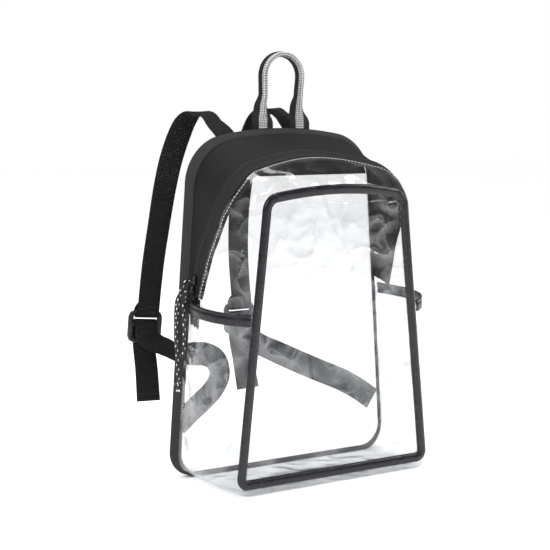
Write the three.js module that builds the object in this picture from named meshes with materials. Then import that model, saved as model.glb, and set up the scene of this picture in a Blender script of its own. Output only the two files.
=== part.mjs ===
// A clear stadium backpack: clear shell, black cloth top, zip arch, front pocket, side pockets and webbing.
// Millimetres, seen from the front: +X to the right, +Y to the back, +Z up. It stands on z = 0.
import * as THREE from "three";

// Driving dimensions
const backHeight = 364;
const backBaseWidth = 276;
const backShoulderWidth = 237;
const depth = 104;
const topCornerRadius = 54;
const baseCornerRadius = 27;
const crownSlopeDegrees = 10;
const toeReach = 8;
const frontLift = 6;
const clearWall = 1.2;
const clothWall = 1.6;
const gap = 0.3;
const bindingDepth = 10;
const bindingThickness = 3.2;
const backPanelRecess = 6;
const yokeHeight = 51;
const zipWidth = 19;
const zipCoilWidth = 6;
const zipCoilRise = 1.4;
const pocketBaseWidth = 238;
const pocketShoulderWidth = 180;
const mouthAboveRim = 7.6;
const pocketTopRadius = 20;
const pocketBaseRadius = 12;
const pocketBindingWidth = 10;
const pocketBindingThickness = 3.6;
const pocketBulge = 7;
const sidePocketHeight = 187;
const zipOverPocket = 8.5;
const sidePocketSlope = 9;
const sidePocketBulge = 10;
const sideBandWidth = 12;
const webbingWidth = 25;
const webbingThickness = 1.8;
const handleSpan = 47;
const handleHeight = 78;
const handleAcross = 1.5;
const handleLean = { x: 2, y: -4 };
const handleFoldWidth = 4.4;
const handleSeam = 28;
const buckleWidth = 38;
const buckleHeight = 35;
const buckleThickness = 5;
const buckleBar = 5;
const buckleCornerCut = 7;
const gripBarRise = 2.5;
const slotPlay = 1.5;
const cordDiameter = 3;
const sliderLength = 9;
const sliderWidth = 8;
const sliderHeight = 5;
const cordSides = 8;

// Shares of the half outline, from the middle of the base (0) to the middle of the crown (1)
const baseEnd = 0.12;
const baseCornerEnd = 0.24;
const sideEnd = 0.66;
const topCornerEnd = 0.84;
const crownSlope = THREE.MathUtils.degToRad(crownSlopeDegrees);

// Sections of the body from the back (0) to the front (1), as shares of the back outline's sizes
const bodySections = [
  { at: 0.0, base: 0.975, shoulder: 0.97, top: 1.0, head: 1.0, foot: 1.0, toe: 0, lift: 0 },
  { at: 0.1, base: 0.957, shoulder: 0.952, top: 0.983, head: 0.98, foot: 1.0, toe: 0, lift: 0 },
  { at: 0.42, base: 0.966, shoulder: 0.962, top: 0.937, head: 0.92, foot: 0.98, toe: 0, lift: 0 },
  { at: 0.6, base: 0.964, shoulder: 0.958, top: 0.919, head: 0.88, foot: 0.95, toe: 0, lift: 0 },
  { at: 0.73, base: 0.955, shoulder: 0.945, top: 0.903, head: 0.82, foot: 0.9, toe: 0.1, lift: 0 },
  { at: 0.86, base: 0.928, shoulder: 0.895, top: 0.882, head: 0.72, foot: 0.8, toe: 0.4, lift: 0 },
  { at: 0.94, base: 0.893, shoulder: 0.832, top: 0.86, head: 0.6, foot: 0.66, toe: 0.75, lift: 0 },
  { at: 0.98, base: 0.868, shoulder: 0.787, top: 0.843, head: 0.5, foot: 0.54, toe: 0.95, lift: 0.25 },
  { at: 1.0, base: 0.852, shoulder: 0.752, top: 0.828, head: 0.42, foot: 0.46, toe: 0, lift: 1 },
];

// Middle line of the zip, from its lower end (0) to the middle of the crown (1): where it lies between
// the back (0) and the front (1). The last row mirrors one before the middle, for a smooth crossing.
const zipLine = [
  { along: 0, depthShare: 0.2 },
  { along: 0.08, depthShare: 0.276 },
  { along: 0.16, depthShare: 0.35 },
  { along: 0.23, depthShare: 0.447 },
  { along: 0.29, depthShare: 0.52 },
  { along: 0.36, depthShare: 0.6 },
  { along: 0.5, depthShare: 0.648 },
  { along: 0.68, depthShare: 0.59 },
  { along: 1.0, depthShare: 0.486 },
  { along: 1.32, depthShare: 0.59 },
];

// Value of a column at a key, on a smooth curve through the rows
function lookUp(table, key, column, at) {
  const last = table.length - 1;
  const x = THREE.MathUtils.clamp(at, table[0][key], table[last][key]);
  let i = 0;
  while (i < last - 1 && x > table[i + 1][key]) i += 1;
  const slope = (n) => {
    const a = table[Math.max(n - 1, 0)];
    const b = table[Math.min(n + 1, last)];
    const before = (table[n][column] - a[column]) / (table[n][key] - a[key] || 1);
    const after = (b[column] - table[n][column]) / (b[key] - table[n][key] || 1);
    if (n === 0) return after;
    if (n === last) return before;
    return before * after <= 0 ? 0 : (2 * before * after) / (before + after);
  };
  const span = table[i + 1][key] - table[i][key];
  const t = (x - table[i][key]) / span;
  const rise = table[i + 1][column] - table[i][column];
  const startSlope = slope(i) * span;
  const endSlope = slope(i + 1) * span;
  const bend = startSlope + endSlope - 2 * rise;
  const swell = rise - startSlope - bend;
  return table[i][column] + startSlope * t + swell * t * t + bend * t * t * t;
}

const lerp = THREE.MathUtils.lerp;
const share = (value, from, to) => (value - from) / (to - from);
const backY = depth / 2;
const yAt = (depthShare) => backY - depthShare * depth;
const bindingShare = bindingDepth / depth;
const gapShare = gap / depth;

// A point of a rounded outline: u runs from the middle of the base (0) to the middle of the crown (1)
function outlinePoint(shape, u) {
  const crownHalf = shape.halfShoulder - shape.topCorner * (1 - Math.sin(crownSlope));
  const crownRise = (crownHalf * Math.tan(crownSlope)) / 2;
  const sideHead = shape.top - crownRise - shape.topCorner * Math.cos(crownSlope);
  const flatHalf = shape.halfBase - shape.baseCorner;
  if (u <= baseEnd) return { x: (flatHalf * u) / baseEnd, z: shape.floor };
  if (u <= baseCornerEnd) {
    const turn = (share(u, baseEnd, baseCornerEnd) * Math.PI) / 2;
    const x = flatHalf + shape.baseCorner * Math.sin(turn);
    return { x, z: shape.floor + shape.baseCorner * (1 - Math.cos(turn)) };
  }
  if (u <= sideEnd) {
    const t = share(u, baseCornerEnd, sideEnd);
    const x = lerp(shape.halfBase, shape.halfShoulder, t);
    return { x, z: lerp(shape.floor + shape.baseCorner, sideHead, t) };
  }
  if (u <= topCornerEnd) {
    const turn = share(u, sideEnd, topCornerEnd) * (Math.PI / 2 - crownSlope);
    const x = shape.halfShoulder - shape.topCorner * (1 - Math.cos(turn));
    return { x, z: sideHead + shape.topCorner * Math.sin(turn) };
  }
  const t = share(u, topCornerEnd, 1);
  return { x: crownHalf * (1 - t), z: shape.top - crownRise * (1 - t) * (1 - t) };
}

// The same outline drawn in by an even margin
function inset(shape, margin) {
  return {
    halfBase: shape.halfBase - margin,
    halfShoulder: shape.halfShoulder - margin,
    top: shape.top - margin,
    floor: shape.floor + margin,
    topCorner: Math.max(shape.topCorner - margin, 1),
    baseCorner: Math.max(shape.baseCorner - margin, 1),
  };
}

const backOutline = {
  halfBase: backBaseWidth / 2,
  halfShoulder: backShoulderWidth / 2,
  top: backHeight,
  floor: 0,
  topCorner: topCornerRadius,
  baseCorner: baseCornerRadius,
};

function bodySection(depthShare) {
  const at = (column) => lookUp(bodySections, "at", column, depthShare);
  return {
    halfBase: (backBaseWidth / 2) * at("base"),
    halfShoulder: (backShoulderWidth / 2) * at("shoulder"),
    top: backHeight * at("top"),
    floor: frontLift * at("lift"),
    topCorner: topCornerRadius * at("head"),
    baseCorner: baseCornerRadius * at("foot"),
  };
}

// The place on the half outline where the side reaches a height
function sideUAt(height, depthShare) {
  const foot = outlinePoint(bodySection(depthShare), baseCornerEnd).z;
  const head = outlinePoint(bodySection(depthShare), sideEnd).z;
  return lerp(baseCornerEnd, sideEnd, share(height, foot, head));
}

// The zip ends a little above the side pockets, and this much outline takes one millimetre of height
const zipStart = sideUAt(sidePocketHeight + zipOverPocket, zipLine[0].depthShare);
const sharePerHeight = sideUAt(1, 0.5) - sideUAt(0, 0.5);

// How much of the toe's roll a place on the outline takes: all of it on the base, none on the sides
function toeWeight(u) {
  const t = THREE.MathUtils.clamp(share(u, baseEnd, baseCornerEnd), 0, 1);
  return (1 + Math.cos(Math.PI * t)) / 2;
}

function bareBodyPoint(side, u, depthShare) {
  const p = outlinePoint(bodySection(depthShare), u);
  const toe = toeReach * lookUp(bodySections, "at", "toe", depthShare) * toeWeight(u);
  return new THREE.Vector3(side * p.x, yAt(depthShare) - toe, p.z);
}

// A point on the body's outer surface, raised along its outward normal
function bodyPoint(side, u, depthShare, raise = 0) {
  const point = bareBodyPoint(side, u, depthShare);
  if (raise === 0) return point;
  const step = 0.003;
  const uLow = Math.max(u - step, 0);
  const uHigh = Math.min(u + step, 1);
  const dLow = Math.max(depthShare - step, 0);
  const dHigh = Math.min(depthShare + step, 1);
  const along = bareBodyPoint(side, uHigh, depthShare).sub(bareBodyPoint(side, uLow, depthShare));
  const forward = bareBodyPoint(side, u, dHigh).sub(bareBodyPoint(side, u, dLow));
  const normal = along.cross(forward).multiplyScalar(side).normalize();
  if (u === 0 || u === 1) normal.setX(0).normalize();
  return point.addScaledVector(normal, raise);
}

// One closed solid through sections of equal length, as a ring or with both ends closed
function loft(sections, closed) {
  const count = sections[0].length;
  const positions = sections.flat().flatMap((p) => [p.x, p.y, p.z]);
  const faces = [];
  const quad = (a, b, c, d) => faces.push(a, b, c, a, c, d);
  const spans = closed ? sections.length : sections.length - 1;
  for (let i = 0; i < spans; i += 1) {
    const here = i * count;
    const there = ((i + 1) % sections.length) * count;
    for (let j = 0; j < count; j += 1) {
      const next = (j + 1) % count;
      quad(here + j, there + j, there + next, here + next);
    }
  }
  if (!closed) {
    const last = (sections.length - 1) * count;
    for (let j = 0; j < count / 2 - 1; j += 1) {
      const across = count - 1 - j;
      quad(j, j + 1, across - 1, across);
      quad(last + across, last + across - 1, last + j + 1, last + j);
    }
  }
  return finished(positions, faces);
}

// The geometry with its faces pointing out
function finished(positions, faces) {
  const at = (i) => new THREE.Vector3().fromArray(positions, i * 3);
  let volume = 0;
  for (let i = 0; i < faces.length; i += 3) {
    volume += at(faces[i]).dot(at(faces[i + 1]).cross(at(faces[i + 2])));
  }
  if (volume < 0) faces.reverse();
  const geometry = new THREE.BufferGeometry();
  geometry.setAttribute("position", new THREE.Float32BufferAttribute(positions, 3));
  geometry.setIndex(faces);
  geometry.computeVertexNormals();
  return geometry;
}

// A wall between an outer and an inner row of points, as one section for loft
const wallSection = (outer, inner) => [...outer, ...inner.reverse()];

// Even steps between two values, both ends included
function steps(from, to, count) {
  return Array.from({ length: count + 1 }, (_, i) => lerp(from, to, i / count));
}

// Places along the half outline, with enough steps on each corner
function outlineSteps(from, to) {
  const marks = [
    { end: baseEnd, count: 2 },
    { end: baseCornerEnd, count: 5 },
    { end: sideEnd, count: 9 },
    { end: topCornerEnd, count: 7 },
    { end: 1, count: 4 },
  ];
  const places = [from];
  let start = 0;
  for (const mark of marks) {
    for (const u of steps(start, mark.end, mark.count).slice(1)) {
      if (u > from + 0.004 && u < to - 0.004) places.push(u);
    }
    start = mark.end;
  }
  return [...places, to];
}

// Places over the top from one side to the other, or round the base, or all the way round
function overTop(from) {
  const half = outlineSteps(from, 1);
  const right = half.map((u) => ({ side: 1, u }));
  const left = half.slice(0, -1).map((u) => ({ side: -1, u }));
  return [...right, ...left.reverse()];
}

function underBase(to) {
  const half = outlineSteps(0, to);
  const right = half.map((u) => ({ side: 1, u }));
  const left = half.slice(1).map((u) => ({ side: -1, u }));
  return [...left.reverse(), ...right];
}

function allRound(extra) {
  const half = [...outlineSteps(0, 1), ...extra].sort((a, b) => a - b);
  const right = half.map((u) => ({ side: 1, u }));
  const left = half.slice(1, -1).map((u) => ({ side: -1, u }));
  return [...right, ...left.reverse()];
}

const plate = (outlinePoints, thickness, frontFace) => {
  const shape = new THREE.Shape(outlinePoints.map((p) => new THREE.Vector2(p.x, p.z)));
  const geometry = new THREE.ExtrudeGeometry(shape, { depth: thickness, bevelEnabled: false });
  geometry.rotateX(Math.PI / 2);
  geometry.translate(0, frontFace + thickness, 0);
  return geometry;
};

const colours = {
  clear: { color: 0xe9eef0, roughness: 0.08, metalness: 0 },
  cloth: { color: 0x2a2a2b, roughness: 0.85, metalness: 0 },
  binding: { color: 0x3b3b3c, roughness: 0.75, metalness: 0 },
  glossy: { color: 0x17171a, roughness: 0.25, metalness: 0 },
  webbing: { color: 0x17171a, roughness: 0.8, metalness: 0 },
  melange: { color: 0x84848a, roughness: 0.75, metalness: 0 },
  plastic: { color: 0x121214, roughness: 0.45, metalness: 0 },
};

const backpack = new THREE.Group();

function add(name, finish, geometry) {
  const material = new THREE.MeshStandardMaterial(colours[finish]);
  if (finish === "clear") {
    material.transparent = true;
    material.opacity = 0.3;
  }
  const mesh = new THREE.Mesh(geometry, material);
  mesh.name = name;
  backpack.add(mesh);
}

const sideName = (side) => (side < 0 ? "left" : "right");

// Shares of depth at the two edges of the zip band
const zipHalfShare = zipWidth / 2 / depth;
const zipMiddle = (u) => lookUp(zipLine, "along", "depthShare", share(u, zipStart, 1));
const zipBackEdge = (u) => zipMiddle(u) - zipHalfShare;
const zipFrontEdge = (u) => zipMiddle(u) + zipHalfShare;

// Clear shell round the sides, base and top, with the opening that the zip closes
function clearGusset() {
  const lowEnd = zipStart - 0.016;
  const rows = [0, 0.2, 0.38, 0.55, 0.68, 0.79, 0.88, 0.94, 0.975, 1];
  const sections = allRound([lowEnd, zipStart]).map(({ side, u }) => {
    const start = u <= lowEnd ? bindingShare + gapShare : zipFrontEdge(Math.max(u, zipStart)) + gapShare;
    const shares = rows.map((row) => lerp(start, 1, row));
    const outer = shares.map((d) => bodyPoint(side, u, d));
    const inner = shares.map((d) => bodyPoint(side, u, d, -clearWall));
    return wallSection(outer, inner);
  });
  return loft(sections, true);
}

// Black cloth wedge between the back binding and the zip
function topGusset() {
  const sections = overTop(zipStart).map(({ side, u }) => {
    const start = bindingShare + gapShare;
    const shares = steps(start, zipBackEdge(u) - gapShare, 3);
    const outer = shares.map((d) => bodyPoint(side, u, d));
    const inner = shares.map((d) => bodyPoint(side, u, d, -clothWall));
    inner[0].setY(Math.min(inner[0].y, outer[0].y));
    return wallSection(outer, inner);
  });
  return loft(sections, false);
}

// Zip tapes with the raised coil along the middle
function mainZip() {
  const coilHalf = zipCoilWidth / 2 / depth;
  const sections = overTop(zipStart).map(({ side, u }) => {
    const middle = zipMiddle(u);
    const across = [-zipHalfShare, -coilHalf, -coilHalf / 2, coilHalf / 2, coilHalf, zipHalfShare];
    const rises = [0, 0, zipCoilRise, zipCoilRise, 0, 0];
    const outer = across.map((d, i) => bodyPoint(side, u, middle + d, rises[i]));
    const inner = across.map((d) => bodyPoint(side, u, middle + d, -clothWall));
    return wallSection(outer, inner);
  });
  return loft(sections, false);
}

// Ribbed binding on the seam round the whole back
function backBinding() {
  const inner = inset(backOutline, bindingThickness);
  const sections = allRound([]).map(({ side, u }) => {
    const tip = outlinePoint(backOutline, u);
    const tipInner = outlinePoint(inner, u);
    const root = bodyPoint(side, u, bindingShare);
    const rootInner = bodyPoint(side, u, bindingShare, -bindingThickness);
    const back = new THREE.Vector3(side * tip.x, backY, tip.z);
    const backInner = new THREE.Vector3(side * tipInner.x, backY, tipInner.z);
    const outer = steps(0, 1, 2).map((t) => root.clone().lerp(back, t));
    const within = steps(0, 1, 2).map((t) => rootInner.clone().setY(root.y).lerp(backInner, t));
    return wallSection(outer, within);
  });
  return loft(sections, true);
}

// Outline of what fits inside the binding where the back panel lies
const backPanelY = backY - backPanelRecess;
const panelBehind = share(backPanelY - clothWall, yAt(bindingShare), backY);

function panelPoint(u) {
  const margin = bindingThickness + gap * 2;
  const root = bodyPoint(1, u, bindingShare, -margin);
  const tip = outlinePoint(inset(backOutline, margin), u);
  return { x: lerp(root.x, tip.x, panelBehind), z: lerp(root.z, tip.z, panelBehind) };
}

function mirrored(points) {
  const right = points.filter((p) => p.x > 0.01);
  const left = right.map((p) => ({ x: -p.x, z: p.z })).reverse();
  return [...right, ...left];
}

const yokeFloor = backHeight - yokeHeight;

// Half width of an outline's side at a height
function halfWidthAt(pointAt, height) {
  let low = baseEnd;
  let high = 1;
  for (let i = 0; i < 30; i += 1) {
    const middle = (low + high) / 2;
    if (pointAt(middle).z < height) low = middle;
    else high = middle;
  }
  return pointAt(low).x;
}

function backPanel() {
  const head = yokeFloor - gap;
  const points = outlineSteps(0, 1).map(panelPoint).filter((p) => p.z < head - 1);
  points.push({ x: halfWidthAt(panelPoint, head), z: head });
  return plate(mirrored(points), clearWall, backPanelY - clearWall);
}

function backYoke() {
  const points = outlineSteps(0, 1).map(panelPoint).filter((p) => p.z > yokeFloor + 1);
  points.unshift({ x: halfWidthAt(panelPoint, yokeFloor), z: yokeFloor });
  return plate(mirrored(points), clothWall, backPanelY - clothWall);
}

// Front panel inside the rim of the clear shell
const rim = bodySection(1);
const frontY = yAt(1);

function frontPanel() {
  const shape = inset(rim, clearWall + gap);
  shape.floor = rim.floor + gap * 2;
  const points = outlineSteps(0, 1).map((u) => outlinePoint(shape, u));
  return plate(mirrored(points), clearWall, frontY + gap / 3);
}

// Front pocket
const pocketOutline = {
  halfBase: pocketBaseWidth / 2,
  halfShoulder: pocketShoulderWidth / 2,
  top: rim.top + mouthAboveRim,
  floor: frontLift + gap * 3,
  topCorner: pocketTopRadius,
  baseCorner: pocketBaseRadius,
};
const pocketInner = inset(pocketOutline, pocketBindingWidth);
const pocketBackY = frontY - gap;
const pocketFrontY = pocketBackY - pocketBindingThickness;
const bindingTopEnd = topCornerEnd - 0.03;

// Section of a binding strip: flat at the back, crowned at the front
function stripSection(edge, hem, backFace, frontFace) {
  const shoulder = (backFace + frontFace) / 2;
  const at = (t, y) => new THREE.Vector3(lerp(edge.x, hem.x, t), y, lerp(edge.z, hem.z, t));
  return [
    at(0, backFace),
    at(0, shoulder),
    at(0.25, frontFace),
    at(0.75, frontFace),
    at(1, shoulder),
    at(1, backFace),
  ];
}

function pocketBinding() {
  const sections = underBase(bindingTopEnd).map(({ side, u }) => {
    const edge = outlinePoint(pocketOutline, u);
    const hem = outlinePoint(pocketInner, u);
    const mirror = (p) => ({ x: side * p.x, z: p.z });
    return stripSection(mirror(edge), mirror(hem), pocketBackY, pocketFrontY);
  });
  return loft(sections, false);
}

// How far the pocket's mouth stands forward of its corners
const bow = (x, half) => pocketBulge * (1 - (x / half) * (x / half));
const bandHalf = outlinePoint(pocketInner, topCornerEnd).x + pocketBindingWidth;

function pocketTopBand() {
  const from = bindingTopEnd + 0.008;
  const sections = overTop(from).map(({ side, u }) => {
    const edge = outlinePoint(pocketOutline, u);
    const hem = outlinePoint(pocketInner, u);
    const forward = Math.max(bow((edge.x + hem.x) / 2, bandHalf), 0);
    const mirror = (p) => ({ x: side * p.x, z: p.z });
    return stripSection(mirror(edge), mirror(hem), pocketBackY - forward, pocketFrontY - forward);
  });
  return loft(sections, false);
}

function pocketPanel() {
  const clearance = gap * 1.5;
  const shape = inset(pocketInner, clearance);
  const floor = shape.floor;
  const head = shape.top - (outlinePoint(shape, 1).z - outlinePoint(shape, topCornerEnd).z) - clearance;
  const heights = [0, 0.05, 0.15, 0.3, 0.45, 0.6, 0.75, 0.88, 0.95, 1];
  const middleY = (pocketBackY + pocketFrontY) / 2;
  const sections = heights.map((t) => {
    const z = lerp(floor, head, t);
    const half = halfWidthAt((u) => outlinePoint(shape, u), z + (t === 0 ? 0.5 : 0));
    const fullness = Math.sin((Math.min(t / 0.3, 1) * Math.PI) / 2);
    const across = steps(-1, 1, 10);
    const y = (s) => middleY - fullness * pocketBulge * (1 - s * s);
    const front = across.map((s) => new THREE.Vector3(s * half, y(s) - clearWall / 2, z));
    const back = across.map((s) => new THREE.Vector3(s * half, y(s) + clearWall / 2, z));
    return wallSection(front, back);
  });
  return loft(sections, false);
}

// Side pockets
const pocketShareBack = bindingShare + gapShare * 3;
const pocketShareFront = 0.985;
const sidePocketFloor = baseCornerEnd - (baseCornerEnd - baseEnd) * 0.4;
const sidePocketHeightAt = (d) => sidePocketHeight - sidePocketSlope * (d - 0.5);

// How far a side pocket stands off the body
function sidePocketLift(d, u, top) {
  const acrossWave = Math.sin(Math.PI * share(d, pocketShareBack, pocketShareFront));
  const rise = Math.max(share(u, sidePocketFloor, top), 0);
  return gap * 2 + sidePocketBulge * Math.max(acrossWave, 0) * Math.pow(rise, 0.8);
}

function sideSheet(side, rowsAt, thickness, extra) {
  const sections = steps(pocketShareBack, pocketShareFront, 14).map((d) => {
    const rows = rowsAt(d);
    const top = rows[rows.length - 1];
    const lift = (u) => sidePocketLift(d, u, top) + extra;
    const outer = rows.map((u) => bodyPoint(side, u, d, lift(u) + thickness));
    const inner = rows.map((u) => bodyPoint(side, u, d, lift(u)));
    return wallSection(outer, inner);
  });
  return loft(sections, false);
}

function sidePocket(side) {
  const rowsAt = (d) => [
    ...steps(sidePocketFloor, baseCornerEnd, 2),
    ...steps(baseCornerEnd, sideUAt(sidePocketHeightAt(d), d), 5).slice(1),
  ];
  return sideSheet(side, rowsAt, clearWall, 0);
}

function sideBand(side) {
  const rowsAt = (d) => {
    const height = sidePocketHeightAt(d);
    return [sideUAt(height - sideBandWidth, d), sideUAt(height - sideBandWidth / 2, d), sideUAt(height, d)];
  };
  return sideSheet(side, rowsAt, clothWall, clearWall + gap);
}

// A strap of even width through its rows: the middle point, and how far its width rolls and yaws
function ribbon(rows, width, thickness, stepCount) {
  const curve = new THREE.CatmullRomCurve3(rows.map((row) => new THREE.Vector3(row.x, row.y, row.z)));
  const last = rows.length - 1;
  const sections = steps(0, 1, stepCount).map((t) => {
    const point = curve.getPoint(t);
    const tangent = curve.getTangent(t);
    const i = Math.min(Math.floor(t * last), last - 1);
    const angle = (column) => {
      const degrees = lerp(rows[i][column] ?? 0, rows[i + 1][column] ?? 0, t * last - i);
      return THREE.MathUtils.degToRad(degrees);
    };
    const across = new THREE.Vector3(Math.cos(angle("yaw")), Math.sin(angle("yaw")), Math.sin(angle("roll")));
    across.x *= Math.cos(angle("roll"));
    across.addScaledVector(tangent, -across.dot(tangent)).normalize();
    const normal = tangent.clone().cross(across);
    const corner = (a, n) =>
      point.clone().addScaledVector(across, (a * width) / 2).addScaledVector(normal, (n * thickness) / 2);
    return [corner(-1, 1), corner(0, 1), corner(1, 1), corner(1, -1), corner(0, -1), corner(-1, -1)];
  });
  return loft(sections, false);
}

// Grab handle: flat on the yoke, folded lengthwise through the arch
const yokeFace = backPanelY + gap * 2 + webbingThickness / 2;
const overBinding = backY + gap + webbingThickness / 2;
const handleY = overBinding + gap;
const handleFoldDepth = webbingWidth / 2;

// Heights of the handle's stages above the top of the back, and how far down the yoke it lies flat
const handleStages = { lie: 8, binding: -10, free: 4, closing: 20, closed: 36, arch: handleHeight - handleSpan / 2 };

function grabHandle() {
  const legHalf = handleSpan / 2;
  const seamHeight = yokeFloor + handleSeam;
  const rows = [
    { x: 1, z: seamHeight, y: yokeFace, fold: 0, lean: 0 },
    { x: 1, z: seamHeight + handleStages.lie, y: yokeFace, fold: 0, lean: 0 },
    { x: 1, z: backHeight + handleStages.binding, y: handleY, fold: 0, lean: 0 },
    { x: 1, z: backHeight + handleStages.free, y: handleY, fold: 0, lean: 0 },
    { x: 0.98, z: backHeight + handleStages.closing, y: handleY, fold: 0.6, lean: 0.5 },
    { x: 0.96, z: backHeight + handleStages.closed, y: handleY, fold: 1, lean: 0.85 },
    { x: 1, z: backHeight + handleStages.arch, y: handleY, fold: 1, lean: 1 },
  ];
  const section = (point, outward, fold) => {
    const half = lerp(webbingWidth, handleFoldWidth, fold) / 2;
    const reach = lerp(webbingThickness, handleFoldDepth, fold);
    const front = point.y - webbingThickness / 2;
    const row = (y) => [-1, 0, 1].map((s) => point.clone().addScaledVector(outward, s * half).setY(y));
    return wallSection(row(front), row(front + reach));
  };
  const leg = (side) =>
    rows.map((row) => {
      const x = handleAcross + side * legHalf * row.x + handleLean.x * row.lean;
      const point = new THREE.Vector3(x, row.y + handleLean.y * row.lean, row.z);
      return section(point, new THREE.Vector3(side, 0, 0), row.fold);
    });
  const archMiddle = new THREE.Vector3(
    handleAcross + handleLean.x,
    handleY + handleLean.y,
    backHeight + handleStages.arch,
  );
  const arch = steps(0, 180, 12).slice(1, -1).map((degrees) => {
    const turn = THREE.MathUtils.degToRad(degrees);
    const outward = new THREE.Vector3(-Math.cos(turn), 0, Math.sin(turn));
    return section(archMiddle.clone().addScaledVector(outward, legHalf), outward, 1);
  });
  return loft([...leg(-1), ...arch, ...leg(1).reverse()], false);
}

// Ladder-lock buckle: a frame with a top bar, a grip bar and a bottom bar
const slotHalf = webbingWidth / 2 + slotPlay;
const topBarHeight = (buckleHeight - buckleBar) / 2;
const bendRadius = Math.hypot(buckleThickness, buckleBar) / 2 + gap + webbingThickness / 2;

function rectangle(halfWidth, low, high) {
  return [
    new THREE.Vector2(-halfWidth, low),
    new THREE.Vector2(halfWidth, low),
    new THREE.Vector2(halfWidth, high),
    new THREE.Vector2(-halfWidth, high),
  ];
}

// A rectangle with its corners cut in two short steps
function softRectangle(halfWidth, halfHeight, cut) {
  const corners = rectangle(halfWidth, -halfHeight, halfHeight);
  return corners.flatMap((corner) => {
    const signX = Math.sign(corner.x);
    const signY = Math.sign(corner.y);
    const along = new THREE.Vector2(corner.x - signX * cut, corner.y);
    const up = new THREE.Vector2(corner.x, corner.y - signY * cut);
    const middle = new THREE.Vector2(corner.x - signX * cut * 0.3, corner.y - signY * cut * 0.3);
    return signX === signY ? [up, middle, along] : [along, middle, up];
  });
}

// Places across are shares of the half shoulder width, those behind shares of the buckle's reach
const routeHalf = backShoulderWidth / 2;
const buckleReach = 62;

// Where each buckle hangs behind the back, and its turn and lean in degrees
const buckleHangs = {
  left: { across: -1.122, height: 0.4176, turn: -5, lean: 5 },
  right: { across: -0.12, height: 0.4176, turn: 0, lean: 0 },
};

// Places in a buckle's own frame: across, behind and up from its middle
function buckleFrame(name) {
  const hang = buckleHangs[name];
  const turn = new THREE.Matrix4().makeRotationZ(THREE.MathUtils.degToRad(hang.turn));
  const lean = new THREE.Matrix4().makeRotationY(THREE.MathUtils.degToRad(hang.lean));
  const x = hang.across * routeHalf;
  return turn.multiply(lean).setPosition(x, backY + buckleReach, hang.height * backHeight);
}

function buckle(name) {
  const tall = buckleHeight / 2;
  const frame = new THREE.Shape(softRectangle(buckleWidth / 2, tall, buckleCornerCut));
  const gripLow = gripBarRise - buckleBar / 2;
  const gripHigh = gripBarRise + buckleBar / 2;
  frame.holes.push(new THREE.Path(rectangle(slotHalf, buckleBar - tall, gripLow).reverse()));
  frame.holes.push(new THREE.Path(rectangle(slotHalf, gripHigh, tall - buckleBar).reverse()));
  const geometry = new THREE.ExtrudeGeometry(frame, { depth: buckleThickness, bevelEnabled: false });
  geometry.rotateX(Math.PI / 2);
  geometry.translate(0, buckleThickness / 2, 0);
  return geometry.applyMatrix4(buckleFrame(name));
}

// Rows of a strap given in the buckle's own frame, with the buckle's turn and lean
function buckleRows(name, places) {
  const hang = buckleHangs[name];
  const frame = buckleFrame(name);
  return places.map(([across, behind, up]) => {
    const point = new THREE.Vector3(across, behind, up).applyMatrix4(frame);
    return { x: point.x, y: point.y, z: point.z, roll: -hang.lean, yaw: hang.turn };
  });
}

// Half a turn round a bar of the buckle, from one face to the other
function turnRound(across, height, from, to) {
  return steps(from, to, 4).map((degrees) => {
    const turn = THREE.MathUtils.degToRad(degrees);
    return [across, bendRadius * Math.cos(turn), height + bendRadius * Math.sin(turn)];
  });
}

// Shoulder straps: from the yoke up and over, then down behind the back and round the top bar
const strapRoutes = {
  left: [
    { x: -0.505, back: 0.05, height: 0.947, roll: 2, yaw: 6 },
    { x: -0.56, back: 0.095, height: 0.982, roll: 6, yaw: 12 },
    { x: -0.635, back: 0.18, height: 1.012, roll: 9, yaw: 22 },
    { x: -0.67, back: 0.27, height: 1.035, roll: 6, yaw: 24 },
    { x: -0.705, back: 0.41, height: 1.044, roll: 2, yaw: 14 },
    { x: -0.745, back: 0.57, height: 1.04, roll: 0, yaw: 4 },
    { x: -0.785, back: 0.71, height: 1.017, roll: 0, yaw: -8 },
    { x: -0.825, back: 0.82, height: 0.975, roll: 0, yaw: -16 },
    { x: -0.88, back: 0.92, height: 0.905, roll: 0, yaw: -18 },
    { x: -0.93, back: 0.98, height: 0.82, roll: 0, yaw: -14 },
    { x: -0.975, back: 1.03, height: 0.72, roll: 0, yaw: -8 },
    { x: -1.03, back: 1.05, height: 0.61, roll: 0, yaw: -6 },
    { x: -1.078, back: 1.0, height: 0.525, roll: -3, yaw: -5 },
  ],
  right: [
    { x: 0.49, back: -0.02, height: 0.936, roll: 6, yaw: 0 },
    { x: 0.43, back: 0.03, height: 0.951, roll: 28, yaw: 0 },
    { x: 0.335, back: 0.065, height: 0.96, roll: 38, yaw: 4 },
    { x: 0.24, back: 0.105, height: 0.974, roll: 34, yaw: 8 },
    { x: 0.163, back: 0.18, height: 1.005, roll: 20, yaw: 20 },
    { x: 0.1, back: 0.275, height: 1.036, roll: 8, yaw: 24 },
    { x: 0.055, back: 0.41, height: 1.053, roll: 2, yaw: 14 },
    { x: 0.015, back: 0.57, height: 1.049, roll: 0, yaw: 4 },
    { x: -0.022, back: 0.71, height: 1.024, roll: 0, yaw: -8 },
    { x: -0.055, back: 0.82, height: 0.98, roll: 0, yaw: -12 },
    { x: -0.09, back: 0.91, height: 0.91, roll: 0, yaw: -10 },
    { x: -0.12, back: 0.97, height: 0.82, roll: 0, yaw: -6 },
    { x: -0.135, back: 1.02, height: 0.72, roll: 0, yaw: -2 },
    { x: -0.135, back: 1.03, height: 0.61, roll: 0, yaw: 0 },
    { x: -0.125, back: 1.0, height: 0.525, roll: 0, yaw: 0 },
  ],
};

// Shares of the yoke's height between which a shoulder strap is sewn down
const strapSeam = { low: 0.12, high: 0.36 };

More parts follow.
